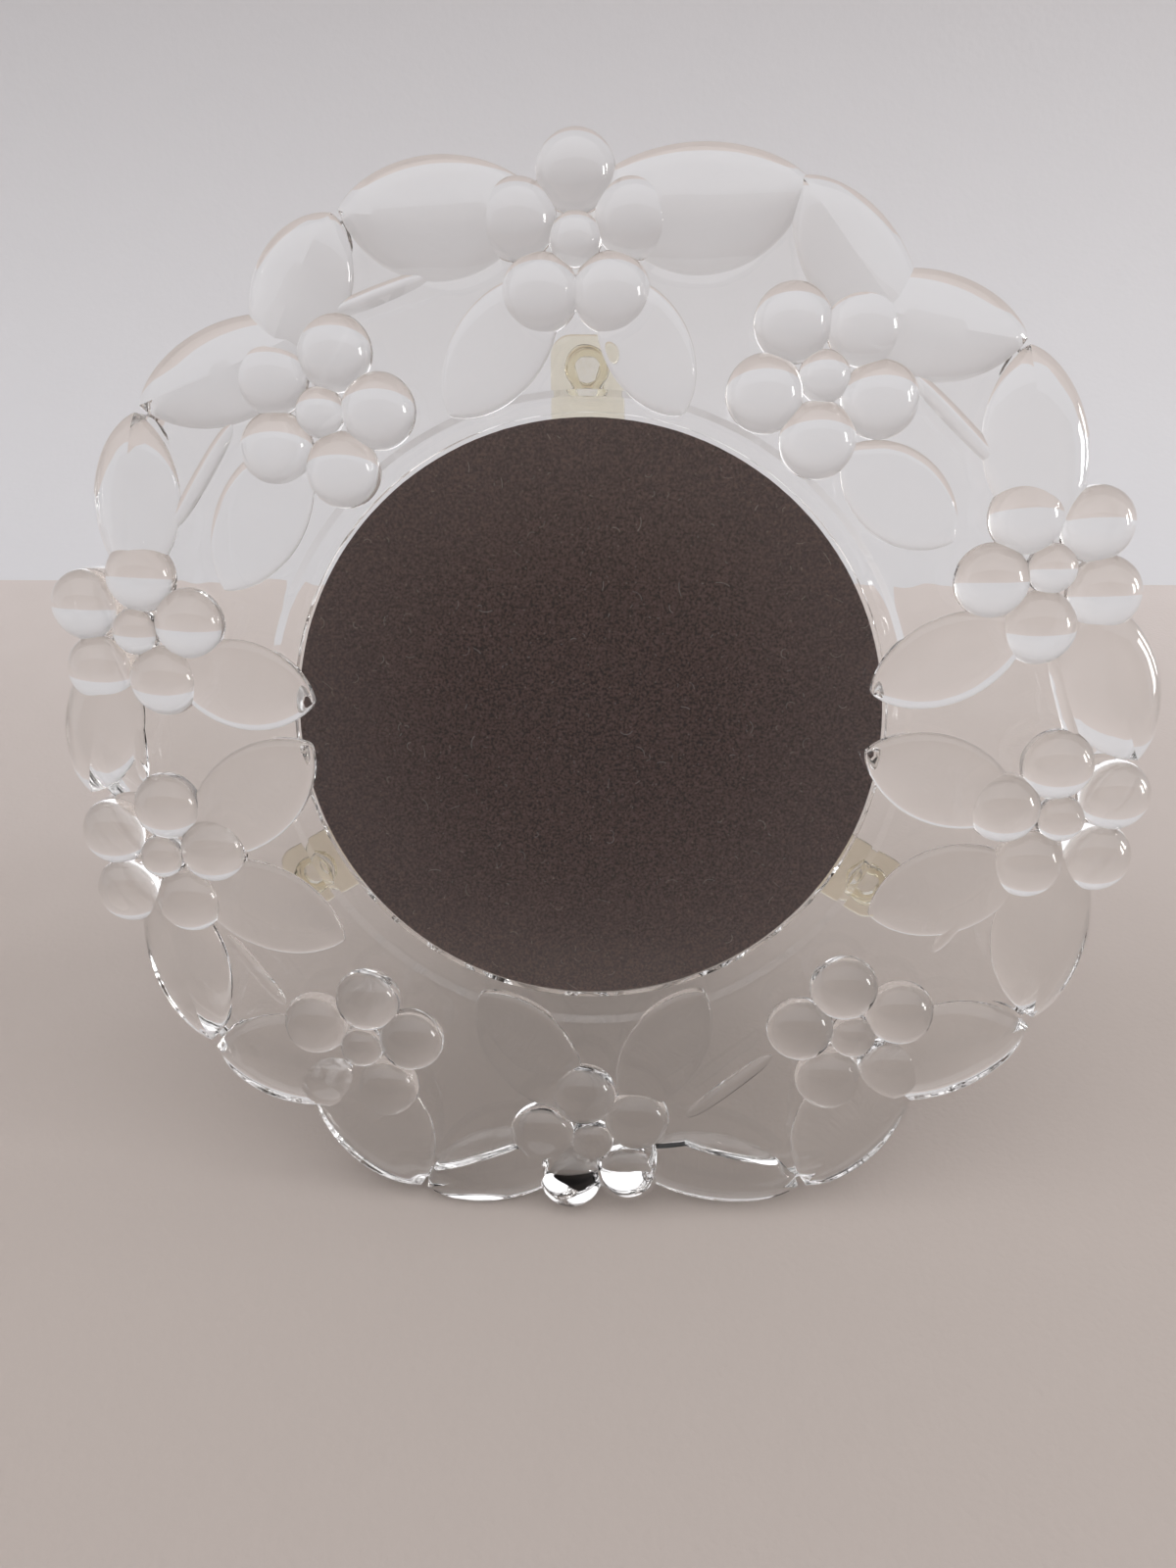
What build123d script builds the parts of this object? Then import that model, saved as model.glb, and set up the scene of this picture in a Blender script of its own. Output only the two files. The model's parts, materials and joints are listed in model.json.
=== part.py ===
from build123d import *
import os
from math import atan, atan2, cos, degrees, radians, sin

# Round pressed-glass photo frame: a clear plate with a wreath of flowers and leaves around a flat window,
# a flocked back board held by three turn clips, and an easel leg on a hinge with a ribbon stay.
# Millimetres, +Z up. It stands on the table at z = 0, leans back towards +Y and faces -Y.
# The origin is on the ground flat under the bottom flower, where the frame stands.

# Stance, in degrees from upright and between the back board and the open leg
LEAN = 18
EASEL_ANGLE = 38
REST_OUT = 38.0
REST_DEPTH = 3.0

# Picture and back board
PICTURE_RADIUS = 50.0
PICTURE_GAP = 0.3
BOARD_CLEARANCE = 0.8
FRONT_LINING = 0.4
BOARD_THICKNESS = 2.4
BACK_LINING = 0.5

# Glass plate, heights measured forward from its back face
RECESS_DEPTH = 1.6
WINDOW_HEIGHT = 5.6
GROUND_HEIGHT = 8.6
GROUND_OUT = 33.0
WELL_MARGIN = 2.4
WELL_DRAFT = 23

# Flowers: five domed petals around a button
PETAL_COUNT = 5
PETAL_RADIUS = 5.8
PETAL_PITCH = 9.4
PETAL_RISE = 4.9
BUTTON_RADIUS = 3.7
BUTTON_RISE = 3.6
FLOWER_GROUND = 10.0
PETAL_SIDES = 10
PETAL_RINGS = 3
BUTTON_SIDES = 8
BUTTON_RINGS = 2
DOME_SPAN = 74
# Each flower's angle, its distance out from the picture's edge and the turn of its petals
FLOWERS = [
    (91, 25.2, 18),
    (56.5, 16.3, 51),
    (20, 28.1, 48),
    (350, 30.1, 26),
    (311, 22.2, 30),
    (271, 26.8, 28),
    (235.5, 21.8, 9),
    (197.5, 27.8, 8),
    (168, 26.6, 8),
    (129.5, 15.4, 1),
]

# Leaves: angle and distance out of the stalk end, the same of the tip, and how far the blade's inner and
# outer sides stand off the line between them
WEB_SETBACK = 2.5
LEAF_SIDES = 5
LEAF_EDGE_RISE = 1.6
LEAF_EDGE_DRAFT = 20
LEAF_RIDGE_RISE = 1.6
LEAF_CREST = 1.6
RIM_LEAVES = [
    (89, 32.2, 68, 38.6, 12.4, 5.6),
    (50.5, 28.6, 69, 38.9, 7.8, 6.2),
    (60.5, 26.9, 42.3, 39.9, 9.1, 6.3),
    (22.5, 29.9, 41.7, 39.7, 9.2, 6.8),
    (15.5, 33.4, 357.5, 40.5, 9.2, 7.0),
    (347.5, 32.6, 327.3, 43.0, 9.7, 6.6),
    (307.5, 32.9, 326.2, 43.5, 10.7, 6.4),
    (315, 32.4, 295.6, 44.6, 10.7, 6.6),
    (275, 31.1, 294.7, 44.1, 8.0, 7.0),
    (269, 31.3, 251.4, 43.3, 9.4, 6.7),
    (231, 29.5, 250.6, 43.4, 11.2, 7.5),
    (239.5, 28.7, 221.6, 41.0, 10.3, 7.3),
    (200, 30.8, 220.6, 40.8, 8.0, 6.5),
    (170.5, 31.0, 188, 37.0, 7.6, 6.5),
    (162.5, 28.1, 144.8, 37.8, 7.5, 6.8),
    (123.5, 25.7, 143.9, 37.7, 8.4, 6.3),
    (130.5, 25.7, 115.8, 37.8, 7.6, 7.6),
    (95, 31.1, 115.1, 37.7, 10.8, 6.6),
]
INNER_FOOT = 0.5
INNER_EDGE_DRAFT = 22
INNER_EDGE_RISE = 0.7
INNER_RIDGE_RISE = 0.9
INNER_LEAVES = [
    (87, 20.0, 73, 2.2, 6.5, 6.5),
    (48, 10.2, 28, 15.6, 6.8, 6.8),
    (14, 23.0, 8, -2.6, 7.0, 7.0),
    (350, 23.2, 356, -3.2, 7.5, 7.5),
    (343, 27.5, 327, 8.2, 7.75, 7.75),
    (276, 21.3, 294, 1.5, 7.0, 7.0),
    (269, 21.0, 249, 2.0, 7.5, 7.5),
    (201, 25.0, 222, 7.7, 7.75, 7.75),
    (198, 22.7, 184, -3.0, 8.0, 8.0),
    (172, 20.6, 175, -4.0, 7.5, 7.5),
    (134, 15.0, 159, 13.6, 7.25, 7.25),
    (94, 20.2, 113, 4.2, 7.0, 7.0),
]

# Turn clips on glued studs
CLIP_ANGLES = {"top": 90, "left": 210, "right": 330}
CLIP_OUT = 7.4
CLIP_LAP = 4.5
CLIP_TAIL = 5.4
CLIP_WIDTH = 12.0
CLIP_CORNER = 3.2
CLIP_THICKNESS = 1.6
CLIP_CLEARANCE = 0.3
CLIP_PLAY = 0.1
PAD_SIDES = 16
PAD_RADIUS = 3.9
PAD_THICKNESS = 0.25
STUD_SIDES = 16
STUD_FOOT_RADIUS = 3.4
STUD_RADIUS = 2.0
STUD_HEAD_RADIUS = 3.2
STUD_HEAD = 0.9
TURNING_FIT = 0.05

# Butt hinge between the board and the leg
HINGE_UP = 24.0
HINGE_WIDTH = 24.0
HINGE_LEAF_LENGTH = 14.0
HINGE_LEAF = 0.8
HINGE_LEAF_CORNER = 2.0
KNUCKLE_RADIUS = 2.0
KNUCKLE_LENGTH = 7.7
KNUCKLE_GAP = 0.3
HINGE_PLAY = 0.4
PIN_RADIUS = 1.0
PIN_FIT = 0.05
PIN_HEAD_RADIUS = 1.5
PIN_HEAD = 0.6

# Flat-headed rivets, clinched in a counterbore under the linings
RIVET_SIDES = 12
RIVET_RADIUS = 1.2
RIVET_FIT = 0.05
RIVET_HEAD_RADIUS = 2.2
RIVET_HEAD = 0.5
RIVET_CLINCH_RADIUS = 1.9
RIVET_CLINCH = 0.5
HINGE_RIVET_SPREAD = 16.0
HINGE_RIVET_DROP = 9.0

# Easel leg, measured down from the hinge
STRUT_TOP_WIDTH = 26.0
STRUT_FOOT_WIDTH = 44.0
STRUT_CORNER = 4.0
STRUT_CORE = 2.2
STRUT_FACING = 0.3
STRUT_VELVET = 0.5

# Ribbon stay
RIBBON_WIDTH = 10.0
RIBBON_THICKNESS = 0.4
RIBBON_TAB = 9.0
RIBBON_BEND = 1.2
STAY_BOARD_DROP = 62.0
STAY_STRUT_DROP = 68.0

# Places that follow from the sizes above
WELL_RADIUS = PICTURE_RADIUS + WELL_MARGIN
RECESS_RADIUS = PICTURE_RADIUS + BOARD_CLEARANCE
REST_RADIUS = PICTURE_RADIUS + REST_OUT
LINING_FRONT = RECESS_DEPTH - PICTURE_GAP
BOARD_FRONT = LINING_FRONT - FRONT_LINING
BOARD_BACK = BOARD_FRONT - BOARD_THICKNESS
BACK = BOARD_BACK - BACK_LINING
CLIP_FRONT = BACK - CLIP_CLEARANCE
CLIP_BACK = CLIP_FRONT - CLIP_THICKNESS
HINGE_STANDOFF = KNUCKLE_RADIUS + HINGE_PLAY
STRUT_FRONT = KNUCKLE_RADIUS - HINGE_PLAY - HINGE_LEAF
STRUT_CORE_FRONT = STRUT_FRONT - STRUT_FACING
STRUT_CORE_BACK = STRUT_CORE_FRONT - STRUT_CORE


def leaning_plane(origin, lean):
    """A plane that leans back by an angle: x to the right, y up along it and z out of its front."""
    return Plane(origin, x_dir=(1, 0, 0), z_dir=(0, -cos(radians(lean)), sin(radians(lean))))


def section(plane, x):
    """The plane across a leaning plane at x, with its own x along the plane and y out of its front."""
    return Plane(plane.from_local_coords((x, 0, 0)), x_dir=plane.y_dir, z_dir=(1, 0, 0))


# The glass's back face, the hinge on the board's plane, and the open leg on its own plane
FRAME = leaning_plane(
    (0, REST_RADIUS * sin(radians(LEAN)) + REST_DEPTH / cos(radians(LEAN)), REST_RADIUS * cos(radians(LEAN))),
    LEAN,
)
HINGE = leaning_plane(FRAME.from_local_coords((0, HINGE_UP, BACK - HINGE_STANDOFF)), LEAN)
STRUT = leaning_plane(HINGE.origin, LEAN - EASEL_ANGLE)
STRUT_LENGTH = HINGE.origin.Z / cos(radians(EASEL_ANGLE - LEAN))
TABLE = Plane.XY


def on_ring(angle, out):
    """A point at an angle around the picture and a distance out from its edge."""
    reach = PICTURE_RADIUS + out
    return Vector(reach * cos(radians(angle)), reach * sin(radians(angle)))


def petal_places(flower):
    """The middles of a flower's petals."""
    angle, out, turn = flower
    middle = on_ring(angle, out)
    turns = [turn + 360 * n / PETAL_COUNT for n in range(PETAL_COUNT)]
    return [middle + Vector(PETAL_PITCH, 0).rotate(Axis.Z, t) for t in turns]


def dome(radius, rise, sides, rings, root=0):
    """A faceted dome on the ground, rounded off towards its top, with a root under it."""
    steps = [radians(DOME_SPAN * n / rings) for n in range(rings + 1)]
    with BuildSketch() as base:
        RegularPolygon(radius, sides)
    top = base.face()
    with BuildPart() as part:
        for low, high in zip(steps, steps[1:]):
            height = rise * (sin(high) - sin(low))
            inset = radius * (cos(low) - cos(high)) * cos(radians(180 / sides))
            extrude(top, amount=height, taper=degrees(atan(inset / height)))
            top = part.faces().sort_by(Axis.Z)[-1]
        if root:
            extrude(base.face(), amount=-root)
    return part.part


def leaf_outline(leaf):
    """A pointed leaf between its stalk end and its tip, with straight runs along two arcs."""
    stalk_angle, stalk_out, tip_angle, tip_out, inner, outer = leaf
    stalk = on_ring(stalk_angle, stalk_out)
    tip = on_ring(tip_angle, tip_out)
    side = (tip - stalk).normalized().rotate(Axis.Z, 90)
    middle = (stalk + tip) / 2
    left_bulge, right_bulge = (outer, inner) if side.dot(middle) > 0 else (inner, outer)
    with BuildLine():
        right = ThreePointArc(stalk, middle - side * right_bulge, tip)
        left = ThreePointArc(tip, middle + side * left_bulge, stalk)
    points = [arc @ (n / LEAF_SIDES) for arc in (right, left) for n in range(LEAF_SIDES)]
    with BuildSketch() as outline:
        with BuildLine():
            Polyline(*points, close=True)
        make_face()
    return outline.sketch


def web_point(leaf):
    """The point on a leaf, set back from its tip, that the glass between the leaves reaches out to."""
    stalk = on_ring(leaf[0], leaf[1])
    tip = on_ring(leaf[2], leaf[3])
    return tip + (stalk - tip).normalized() * WEB_SETBACK


def leaf_relief(leaf, foot, edge_rise, edge_draft, ridge_rise):
    """A leaf in relief: steep edges up to its blade, which slopes up to a narrow crest along the middle."""
    inset = edge_rise * sin(radians(edge_draft)) / cos(radians(edge_draft))
    slope = (leaf[-2] + leaf[-1]) / 2 - inset - LEAF_CREST / 2
    outline = leaf_outline(leaf)
    with BuildPart() as relief:
        with BuildSketch(Plane.XY.offset(foot)):
            add(outline)
        extrude(amount=edge_rise, taper=edge_draft)
        blade = relief.faces().sort_by(Axis.Z)[-1]
        extrude(blade, amount=ridge_rise, taper=degrees(atan(slope / ridge_rise)))
    return relief.part


# Pressed glass: the scalloped blank, the sunk window, the recess for the board, the wreath and the ground flat
flower_petals = [place for flower in FLOWERS for place in petal_places(flower)]
flower_middles = [on_ring(angle, out) for angle, out, turn in FLOWERS]
button = dome(BUTTON_RADIUS, BUTTON_RISE, BUTTON_SIDES, BUTTON_RINGS)
rim_outlines = [leaf_outline(leaf) for leaf in RIM_LEAVES]
rim_reliefs = [
    leaf_relief(leaf, GROUND_HEIGHT, LEAF_EDGE_RISE, LEAF_EDGE_DRAFT, LEAF_RIDGE_RISE) for leaf in RIM_LEAVES
]
inner_foot = WINDOW_HEIGHT - INNER_FOOT
petal = dome(PETAL_RADIUS, PETAL_RISE, PETAL_SIDES, PETAL_RINGS, GROUND_HEIGHT - inner_foot)
inner_rise = GROUND_HEIGHT + INNER_EDGE_RISE - inner_foot
inner_reliefs = [
    leaf_relief(leaf, inner_foot, inner_rise, INNER_EDGE_DRAFT, INNER_RIDGE_RISE) for leaf in INNER_LEAVES
]
web_points = flower_middles + [web_point(leaf) for leaf in RIM_LEAVES]
web_points.sort(key=lambda point: atan2(point.Y, point.X))
with BuildSketch() as blank:
    Circle(PICTURE_RADIUS + GROUND_OUT)
    with BuildLine():
        Polyline(*web_points, close=True)
    make_face()
    add(rim_outlines)
    with Locations(*flower_middles):
        RegularPolygon(FLOWER_GROUND, PETAL_SIDES)
    with Locations(*flower_petals):
        RegularPolygon(PETAL_RADIUS, PETAL_SIDES)
with BuildPart(FRAME) as glass_body:
    with BuildSketch(FRAME):
        add(Face(blank.face().outer_wire()))
    extrude(amount=GROUND_HEIGHT)
    with BuildSketch(FRAME.offset(WINDOW_HEIGHT)):
        Circle(WELL_RADIUS)
    extrude(amount=GROUND_HEIGHT - WINDOW_HEIGHT, taper=-WELL_DRAFT, mode=Mode.SUBTRACT)
    with BuildSketch(FRAME):
        Circle(RECESS_RADIUS)
    extrude(amount=RECESS_DEPTH, mode=Mode.SUBTRACT)
    add(rim_reliefs + inner_reliefs)
    with Locations(*[(p.X, p.Y, GROUND_HEIGHT) for p in flower_petals]):
        add(petal)
    with Locations(*[(p.X, p.Y, GROUND_HEIGHT) for p in flower_middles]):
        add(button)
    split(bisect_by=TABLE, keep=Keep.TOP)


# Clips: pads of glue, studs staked behind the clips, and the clips that turn on them
clip_places = {name: on_ring(angle, CLIP_OUT) for name, angle in CLIP_ANGLES.items()}

with BuildPart() as adhesive_pads:
    with BuildSketch(FRAME):
        with Locations(*clip_places.values()):
            RegularPolygon(PAD_RADIUS, PAD_SIDES)
    extrude(amount=-PAD_THICKNESS)

stud_steps = [
    (STUD_FOOT_RADIUS, -PAD_THICKNESS, CLIP_FRONT + CLIP_PLAY),
    (STUD_RADIUS, CLIP_FRONT + CLIP_PLAY, CLIP_BACK - CLIP_PLAY),
    (STUD_HEAD_RADIUS, CLIP_BACK - CLIP_PLAY, CLIP_BACK - CLIP_PLAY - STUD_HEAD),
]
with BuildPart() as clip_studs:
    for radius, front, back in stud_steps:
        with BuildSketch(FRAME.offset(front)):
            with Locations(*clip_places.values()):
                RegularPolygon(radius, STUD_SIDES)
        extrude(amount=back - front)


def turn_clip(place, angle):
    """A clip on its stud: a rounded tail outside and a tongue that laps over the board's edge."""
    reach = CLIP_OUT + CLIP_LAP
    length = CLIP_TAIL + reach
    with BuildPart() as clip:
        with BuildSketch(FRAME.offset(CLIP_BACK)):
            with Locations(Location((place.X, place.Y), angle)):
                with Locations(((CLIP_TAIL - reach) / 2, 0)):
                    RectangleRounded(length, CLIP_WIDTH, CLIP_CORNER)
                Circle(STUD_RADIUS + TURNING_FIT, mode=Mode.SUBTRACT)
        extrude(amount=CLIP_THICKNESS)
    return clip.part


clips = {"turn_clip_" + name: turn_clip(clip_places[name], angle) for name, angle in CLIP_ANGLES.items()}


# Rivets, with the holes and counterbores that they need
hinge_rivets_board = [(x * HINGE_RIVET_SPREAD / 2, HINGE_RIVET_DROP) for x in (-1, 1)]
hinge_rivets_strut = [(x * HINGE_RIVET_SPREAD / 2, -HINGE_RIVET_DROP) for x in (-1, 1)]
stay_rivet_board = [(0, -STAY_BOARD_DROP)]
stay_rivet_strut = [(0, -STAY_STRUT_DROP)]


def rivets(plane, places, seat, clinch):
    """Rivets from the face that their heads sit on to the face where they are clinched."""
    side = 1 if seat > clinch else -1
    steps = [
        (RIVET_HEAD_RADIUS, seat, side * RIVET_HEAD),
        (RIVET_RADIUS, seat, clinch - seat),
        (RIVET_CLINCH_RADIUS, clinch, side * RIVET_CLINCH),
    ]
    with BuildPart() as group:
        for radius, start, depth in steps:
            with BuildSketch(plane.offset(start)):
                with Locations(*places):
                    RegularPolygon(radius, RIVET_SIDES)
            extrude(amount=depth)
    return group.part


def rivet_holes(places):
    """Holes for rivets, cut from the sketch that is being drawn."""
    with Locations(*places):
        RegularPolygon(RIVET_RADIUS + RIVET_FIT, RIVET_SIDES, mode=Mode.SUBTRACT)


# The board's own heights, from the hinge pin
board_back = HINGE_STANDOFF + BACK_LINING
board_front = board_back + BOARD_THICKNESS
board_holes = hinge_rivets_board + stay_rivet_board
strut_holes = hinge_rivets_strut + stay_rivet_strut


def board_disc(start, depth, holes=()):
    """A disc as large as the picture, on the board's plane, with holes for rivets."""
    with BuildPart() as disc:
        with BuildSketch(HINGE.offset(start)):
            with Locations((0, -HINGE_UP)):
                Circle(PICTURE_RADIUS)
            rivet_holes(holes)
        extrude(amount=depth)
    return disc.part


front_lining = board_disc(board_front, FRONT_LINING)
back_lining = board_disc(HINGE_STANDOFF, BACK_LINING, board_holes)
with BuildPart() as backing_board:
    add(board_disc(board_back, BOARD_THICKNESS, board_holes))
    with BuildSketch(HINGE.offset(board_front)):
        with Locations(*board_holes):
            RegularPolygon(RIVET_CLINCH_RADIUS + RIVET_FIT, RIVET_SIDES)
    extrude(amount=-RIVET_CLINCH, mode=Mode.SUBTRACT)


# Hinge: a leaf with two knuckles on the board, a leaf with one between them on the leg, and a headed pin
outer_knuckle = (HINGE_WIDTH - KNUCKLE_LENGTH) / 2 - KNUCKLE_GAP
knuckle_room = KNUCKLE_RADIUS + HINGE_PLAY


def barrel(radius, x, length):
    """A round bar around the pin's axis, from x along the hinge."""
    with BuildPart() as bar:
        with BuildSketch(section(HINGE, x)):
            Circle(radius)
        extrude(amount=length)
    return bar.part


pin_bore = barrel(PIN_RADIUS + PIN_FIT, -HINGE_WIDTH / 2, HINGE_WIDTH)

with BuildPart() as board_hinge_leaf:
    with BuildSketch(HINGE.offset(HINGE_STANDOFF)) as plate:
        Rectangle(HINGE_WIDTH, HINGE_LEAF_LENGTH, align=(Align.CENTER, Align.MIN))
        fillet(plate.vertices().group_by(Axis.Y)[-1], HINGE_LEAF_CORNER)
        Rectangle(KNUCKLE_LENGTH + 2 * KNUCKLE_GAP, knuckle_room, align=(Align.CENTER, Align.MIN), mode=Mode.SUBTRACT)
        rivet_holes(hinge_rivets_board)
    extrude(amount=-HINGE_LEAF)
    add(barrel(KNUCKLE_RADIUS, -HINGE_WIDTH / 2, outer_knuckle))
    add(barrel(KNUCKLE_RADIUS, HINGE_WIDTH / 2 - outer_knuckle, outer_knuckle))
    add(pin_bore, mode=Mode.SUBTRACT)

with BuildPart() as strut_hinge_leaf:
    with BuildSketch(STRUT.offset(STRUT_FRONT)) as plate:
        with Locations((0, -HINGE_LEAF_LENGTH)):
            Rectangle(HINGE_WIDTH, HINGE_LEAF_LENGTH - knuckle_room, align=(Align.CENTER, Align.MIN))
        fillet(plate.vertices().group_by(Axis.Y)[0], HINGE_LEAF_CORNER)
        Rectangle(KNUCKLE_LENGTH, HINGE_LEAF_LENGTH / 2, align=(Align.CENTER, Align.MAX))
        rivet_holes(hinge_rivets_strut)
    extrude(amount=HINGE_LEAF)
    add(barrel(KNUCKLE_RADIUS, -KNUCKLE_LENGTH / 2, KNUCKLE_LENGTH))
    add(pin_bore, mode=Mode.SUBTRACT)

with BuildPart() as hinge_pin:
    add(barrel(PIN_RADIUS, -HINGE_WIDTH / 2, HINGE_WIDTH))
    add(barrel(PIN_HEAD_RADIUS, -HINGE_WIDTH / 2, -PIN_HEAD))
    add(barrel(PIN_HEAD_RADIUS, HINGE_WIDTH / 2, PIN_HEAD))


# Easel leg: a tapered core with paper in front and velvet behind, cut level where it stands on the table
def strut_layer(start, depth, holes=()):
    """One layer of the leg, from the hinge's clearance to the table."""
    foot = -STRUT_LENGTH - STRUT_CORNER
    with BuildPart() as layer:
        with BuildSketch(STRUT.offset(start)) as outline:
            with BuildLine():
                Polyline(
                    (-STRUT_TOP_WIDTH / 2, -knuckle_room),
                    (STRUT_TOP_WIDTH / 2, -knuckle_room),
                    (STRUT_FOOT_WIDTH / 2, foot),
                    (-STRUT_FOOT_WIDTH / 2, foot),
                    close=True,
                )
            make_face()
            fillet(outline.vertices().group_by(Axis.Y)[-1], STRUT_CORNER)
            rivet_holes(holes)
        extrude(amount=depth)
        split(bisect_by=TABLE, keep=Keep.TOP)
    return layer.part


strut_facing = strut_layer(STRUT_FRONT, -STRUT_FACING, strut_holes)
strut_velvet = strut_layer(STRUT_CORE_BACK, -STRUT_VELVET)
with BuildPart() as strut_core:
    add(strut_layer(STRUT_CORE_FRONT, -STRUT_CORE, strut_holes))
    with BuildSketch(STRUT.offset(STRUT_CORE_BACK)):
        with Locations(*strut_holes):
            RegularPolygon(RIVET_CLINCH_RADIUS + RIVET_FIT, RIVET_SIDES)
    extrude(amount=RIVET_CLINCH, mode=Mode.SUBTRACT)


# Ribbon stay: a tab under a rivet on the board, a taut span and a tab under a rivet on the leg
board_tab = HINGE_STANDOFF - RIBBON_THICKNESS / 2
strut_tab = STRUT_FRONT + RIBBON_THICKNESS / 2
ribbon_points = [
    HINGE.from_local_coords((0, -STAY_BOARD_DROP + RIBBON_TAB / 2, board_tab)),
    HINGE.from_local_coords((0, -STAY_BOARD_DROP - RIBBON_TAB / 2, board_tab)),
    STRUT.from_local_coords((0, -STAY_STRUT_DROP + RIBBON_TAB / 2, strut_tab)),
    STRUT.from_local_coords((0, -STAY_STRUT_DROP - RIBBON_TAB / 2, strut_tab)),
]
with BuildPart() as ribbon_stay:
    with BuildSketch(Plane.YZ.offset(-RIBBON_WIDTH / 2)):
        with BuildLine():
            ribbon_path = FilletPolyline(*[(p.Y, p.Z) for p in ribbon_points], radius=RIBBON_BEND)
        trace(ribbon_path, RIBBON_THICKNESS)
    extrude(amount=RIBBON_WIDTH)
    for plane, places, start in ((HINGE, stay_rivet_board, board_tab), (STRUT, stay_rivet_strut, strut_tab)):
        with BuildSketch(plane.offset(start)):
            with Locations(*places):
                RegularPolygon(RIVET_RADIUS + RIVET_FIT, RIVET_SIDES)
        extrude(amount=RIBBON_THICKNESS, both=True, mode=Mode.SUBTRACT)


# Every piece by name
pieces = {
    "glass_body": glass_body.part,
    "adhesive_pads": adhesive_pads.part,
    "clip_studs": clip_studs.part,
    **clips,
    "front_lining": front_lining,
    "backing_board": backing_board.part,
    "back_lining": back_lining,
    "board_hinge_leaf": board_hinge_leaf.part,
    "board_hinge_rivets": rivets(HINGE, hinge_rivets_board, HINGE_STANDOFF - HINGE_LEAF, board_front),
    "stay_board_rivet": rivets(HINGE, stay_rivet_board, HINGE_STANDOFF - RIBBON_THICKNESS, board_front),
    "strut_core": strut_core.part,
    "strut_facing": strut_facing,
    "strut_velvet": strut_velvet,
    "strut_hinge_leaf": strut_hinge_leaf.part,
    "strut_hinge_rivets": rivets(STRUT, hinge_rivets_strut, STRUT_FRONT + HINGE_LEAF, STRUT_CORE_BACK),
    "stay_strut_rivet": rivets(STRUT, stay_rivet_strut, STRUT_FRONT + RIBBON_THICKNESS, STRUT_CORE_BACK),
    "hinge_pin": hinge_pin.part,
    "ribbon_stay": ribbon_stay.part,
}
os.makedirs("parts", exist_ok=True)
for name, piece in pieces.items():
    piece.label = name
    export_step(piece, "parts/" + name + ".step")

print("easel hinge", [round(v, 3) for v in HINGE.origin])
for name, place in clip_places.items():
    pivot = FRAME.from_local_coords((place.X, place.Y, CLIP_FRONT))
    print("clip", name, [round(v, 3) for v in pivot])
print("clip axis", [round(v, 6) for v in FRAME.z_dir])
print("ribbon length", round(ribbon_path.length, 2))
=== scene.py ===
import json
import random
from math import atan2, cos, pi, radians, sin, sqrt

import bmesh
import bpy
from mathutils import Euler, Matrix, Vector

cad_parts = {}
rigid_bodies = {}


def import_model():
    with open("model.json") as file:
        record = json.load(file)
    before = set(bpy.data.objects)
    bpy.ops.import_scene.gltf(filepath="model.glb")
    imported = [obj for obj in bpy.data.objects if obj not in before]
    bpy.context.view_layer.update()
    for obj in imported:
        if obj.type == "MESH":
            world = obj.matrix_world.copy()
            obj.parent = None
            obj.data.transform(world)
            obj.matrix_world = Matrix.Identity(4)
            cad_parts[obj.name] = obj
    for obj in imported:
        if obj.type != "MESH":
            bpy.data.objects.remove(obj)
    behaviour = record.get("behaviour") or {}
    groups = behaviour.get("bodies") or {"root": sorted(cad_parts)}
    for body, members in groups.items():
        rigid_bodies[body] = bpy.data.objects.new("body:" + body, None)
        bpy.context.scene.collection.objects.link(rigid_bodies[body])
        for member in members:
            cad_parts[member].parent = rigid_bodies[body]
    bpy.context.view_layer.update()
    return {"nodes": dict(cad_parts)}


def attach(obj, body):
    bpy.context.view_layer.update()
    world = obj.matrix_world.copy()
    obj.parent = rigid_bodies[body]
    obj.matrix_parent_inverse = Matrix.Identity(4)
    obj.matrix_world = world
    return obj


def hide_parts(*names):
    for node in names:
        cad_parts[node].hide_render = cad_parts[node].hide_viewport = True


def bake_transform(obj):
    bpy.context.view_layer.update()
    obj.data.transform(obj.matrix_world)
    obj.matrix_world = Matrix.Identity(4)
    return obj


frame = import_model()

# Round pressed-glass photo frame: the glass wreath, the flocked back board behind its window, the three turn
# clips, and the easel leg with its ribbon stay. Sizes are in millimetres, and the meshes are in metres.
MM = 0.001

# Stance: how far the glass leans back, and the angle between the back board and the open leg
LEAN = radians(18)
EASEL_ANGLE = radians(38)


def leaning_place(origin, lean):
    """A place on a plane that leans back: x to the right, y up along it and z out of its front."""
    return Matrix.Translation(Vector(origin) * MM) @ Matrix((
        (1, 0, 0, 0),
        (0, sin(lean), -cos(lean), 0),
        (0, cos(lean), sin(lean), 0),
        (0, 0, 0, 1),
    ))


# The glass's back face, and the hinge pin on the board's plane and on the open leg's
HINGE_PIN = Vector((0, 41.949, 105.159))
GLASS_PLACE = leaning_place((0, 30.348, 83.693), LEAN)
BOARD_PLACE = leaning_place(HINGE_PIN, LEAN)
LEG_PLACE = leaning_place(HINGE_PIN, LEAN - EASEL_ANGLE)

# Heights of the glass, forward from its back face, and its radii around the picture. WELL_CORNER softens the
# well's corners, by points along and down from each.
PICTURE_RADIUS = 50.0
RECESS_RADIUS = 50.8
RECESS_DEPTH = 1.6
WINDOW_HEIGHT = 7.4
GROUND_HEIGHT = 8.6
GROUND_RADIUS = 83.0
WELL_FOOT = 52.95
WELL_TOP = 53.7
WELL_CORNER = [(0.3, 0.0), (0.1, 0.04), (0.0, 0.12)]
WELL_LIP = 1.0
WINDOW_LIP = 0.8
BACK_MIDDLE = 40.0
RIM_ROUNDING = 1.2
BACK_ROUND_WIDTH = 5.0
BACK_ROUND_HEIGHT = 4.0
PLATE_SIDES = 360

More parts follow.
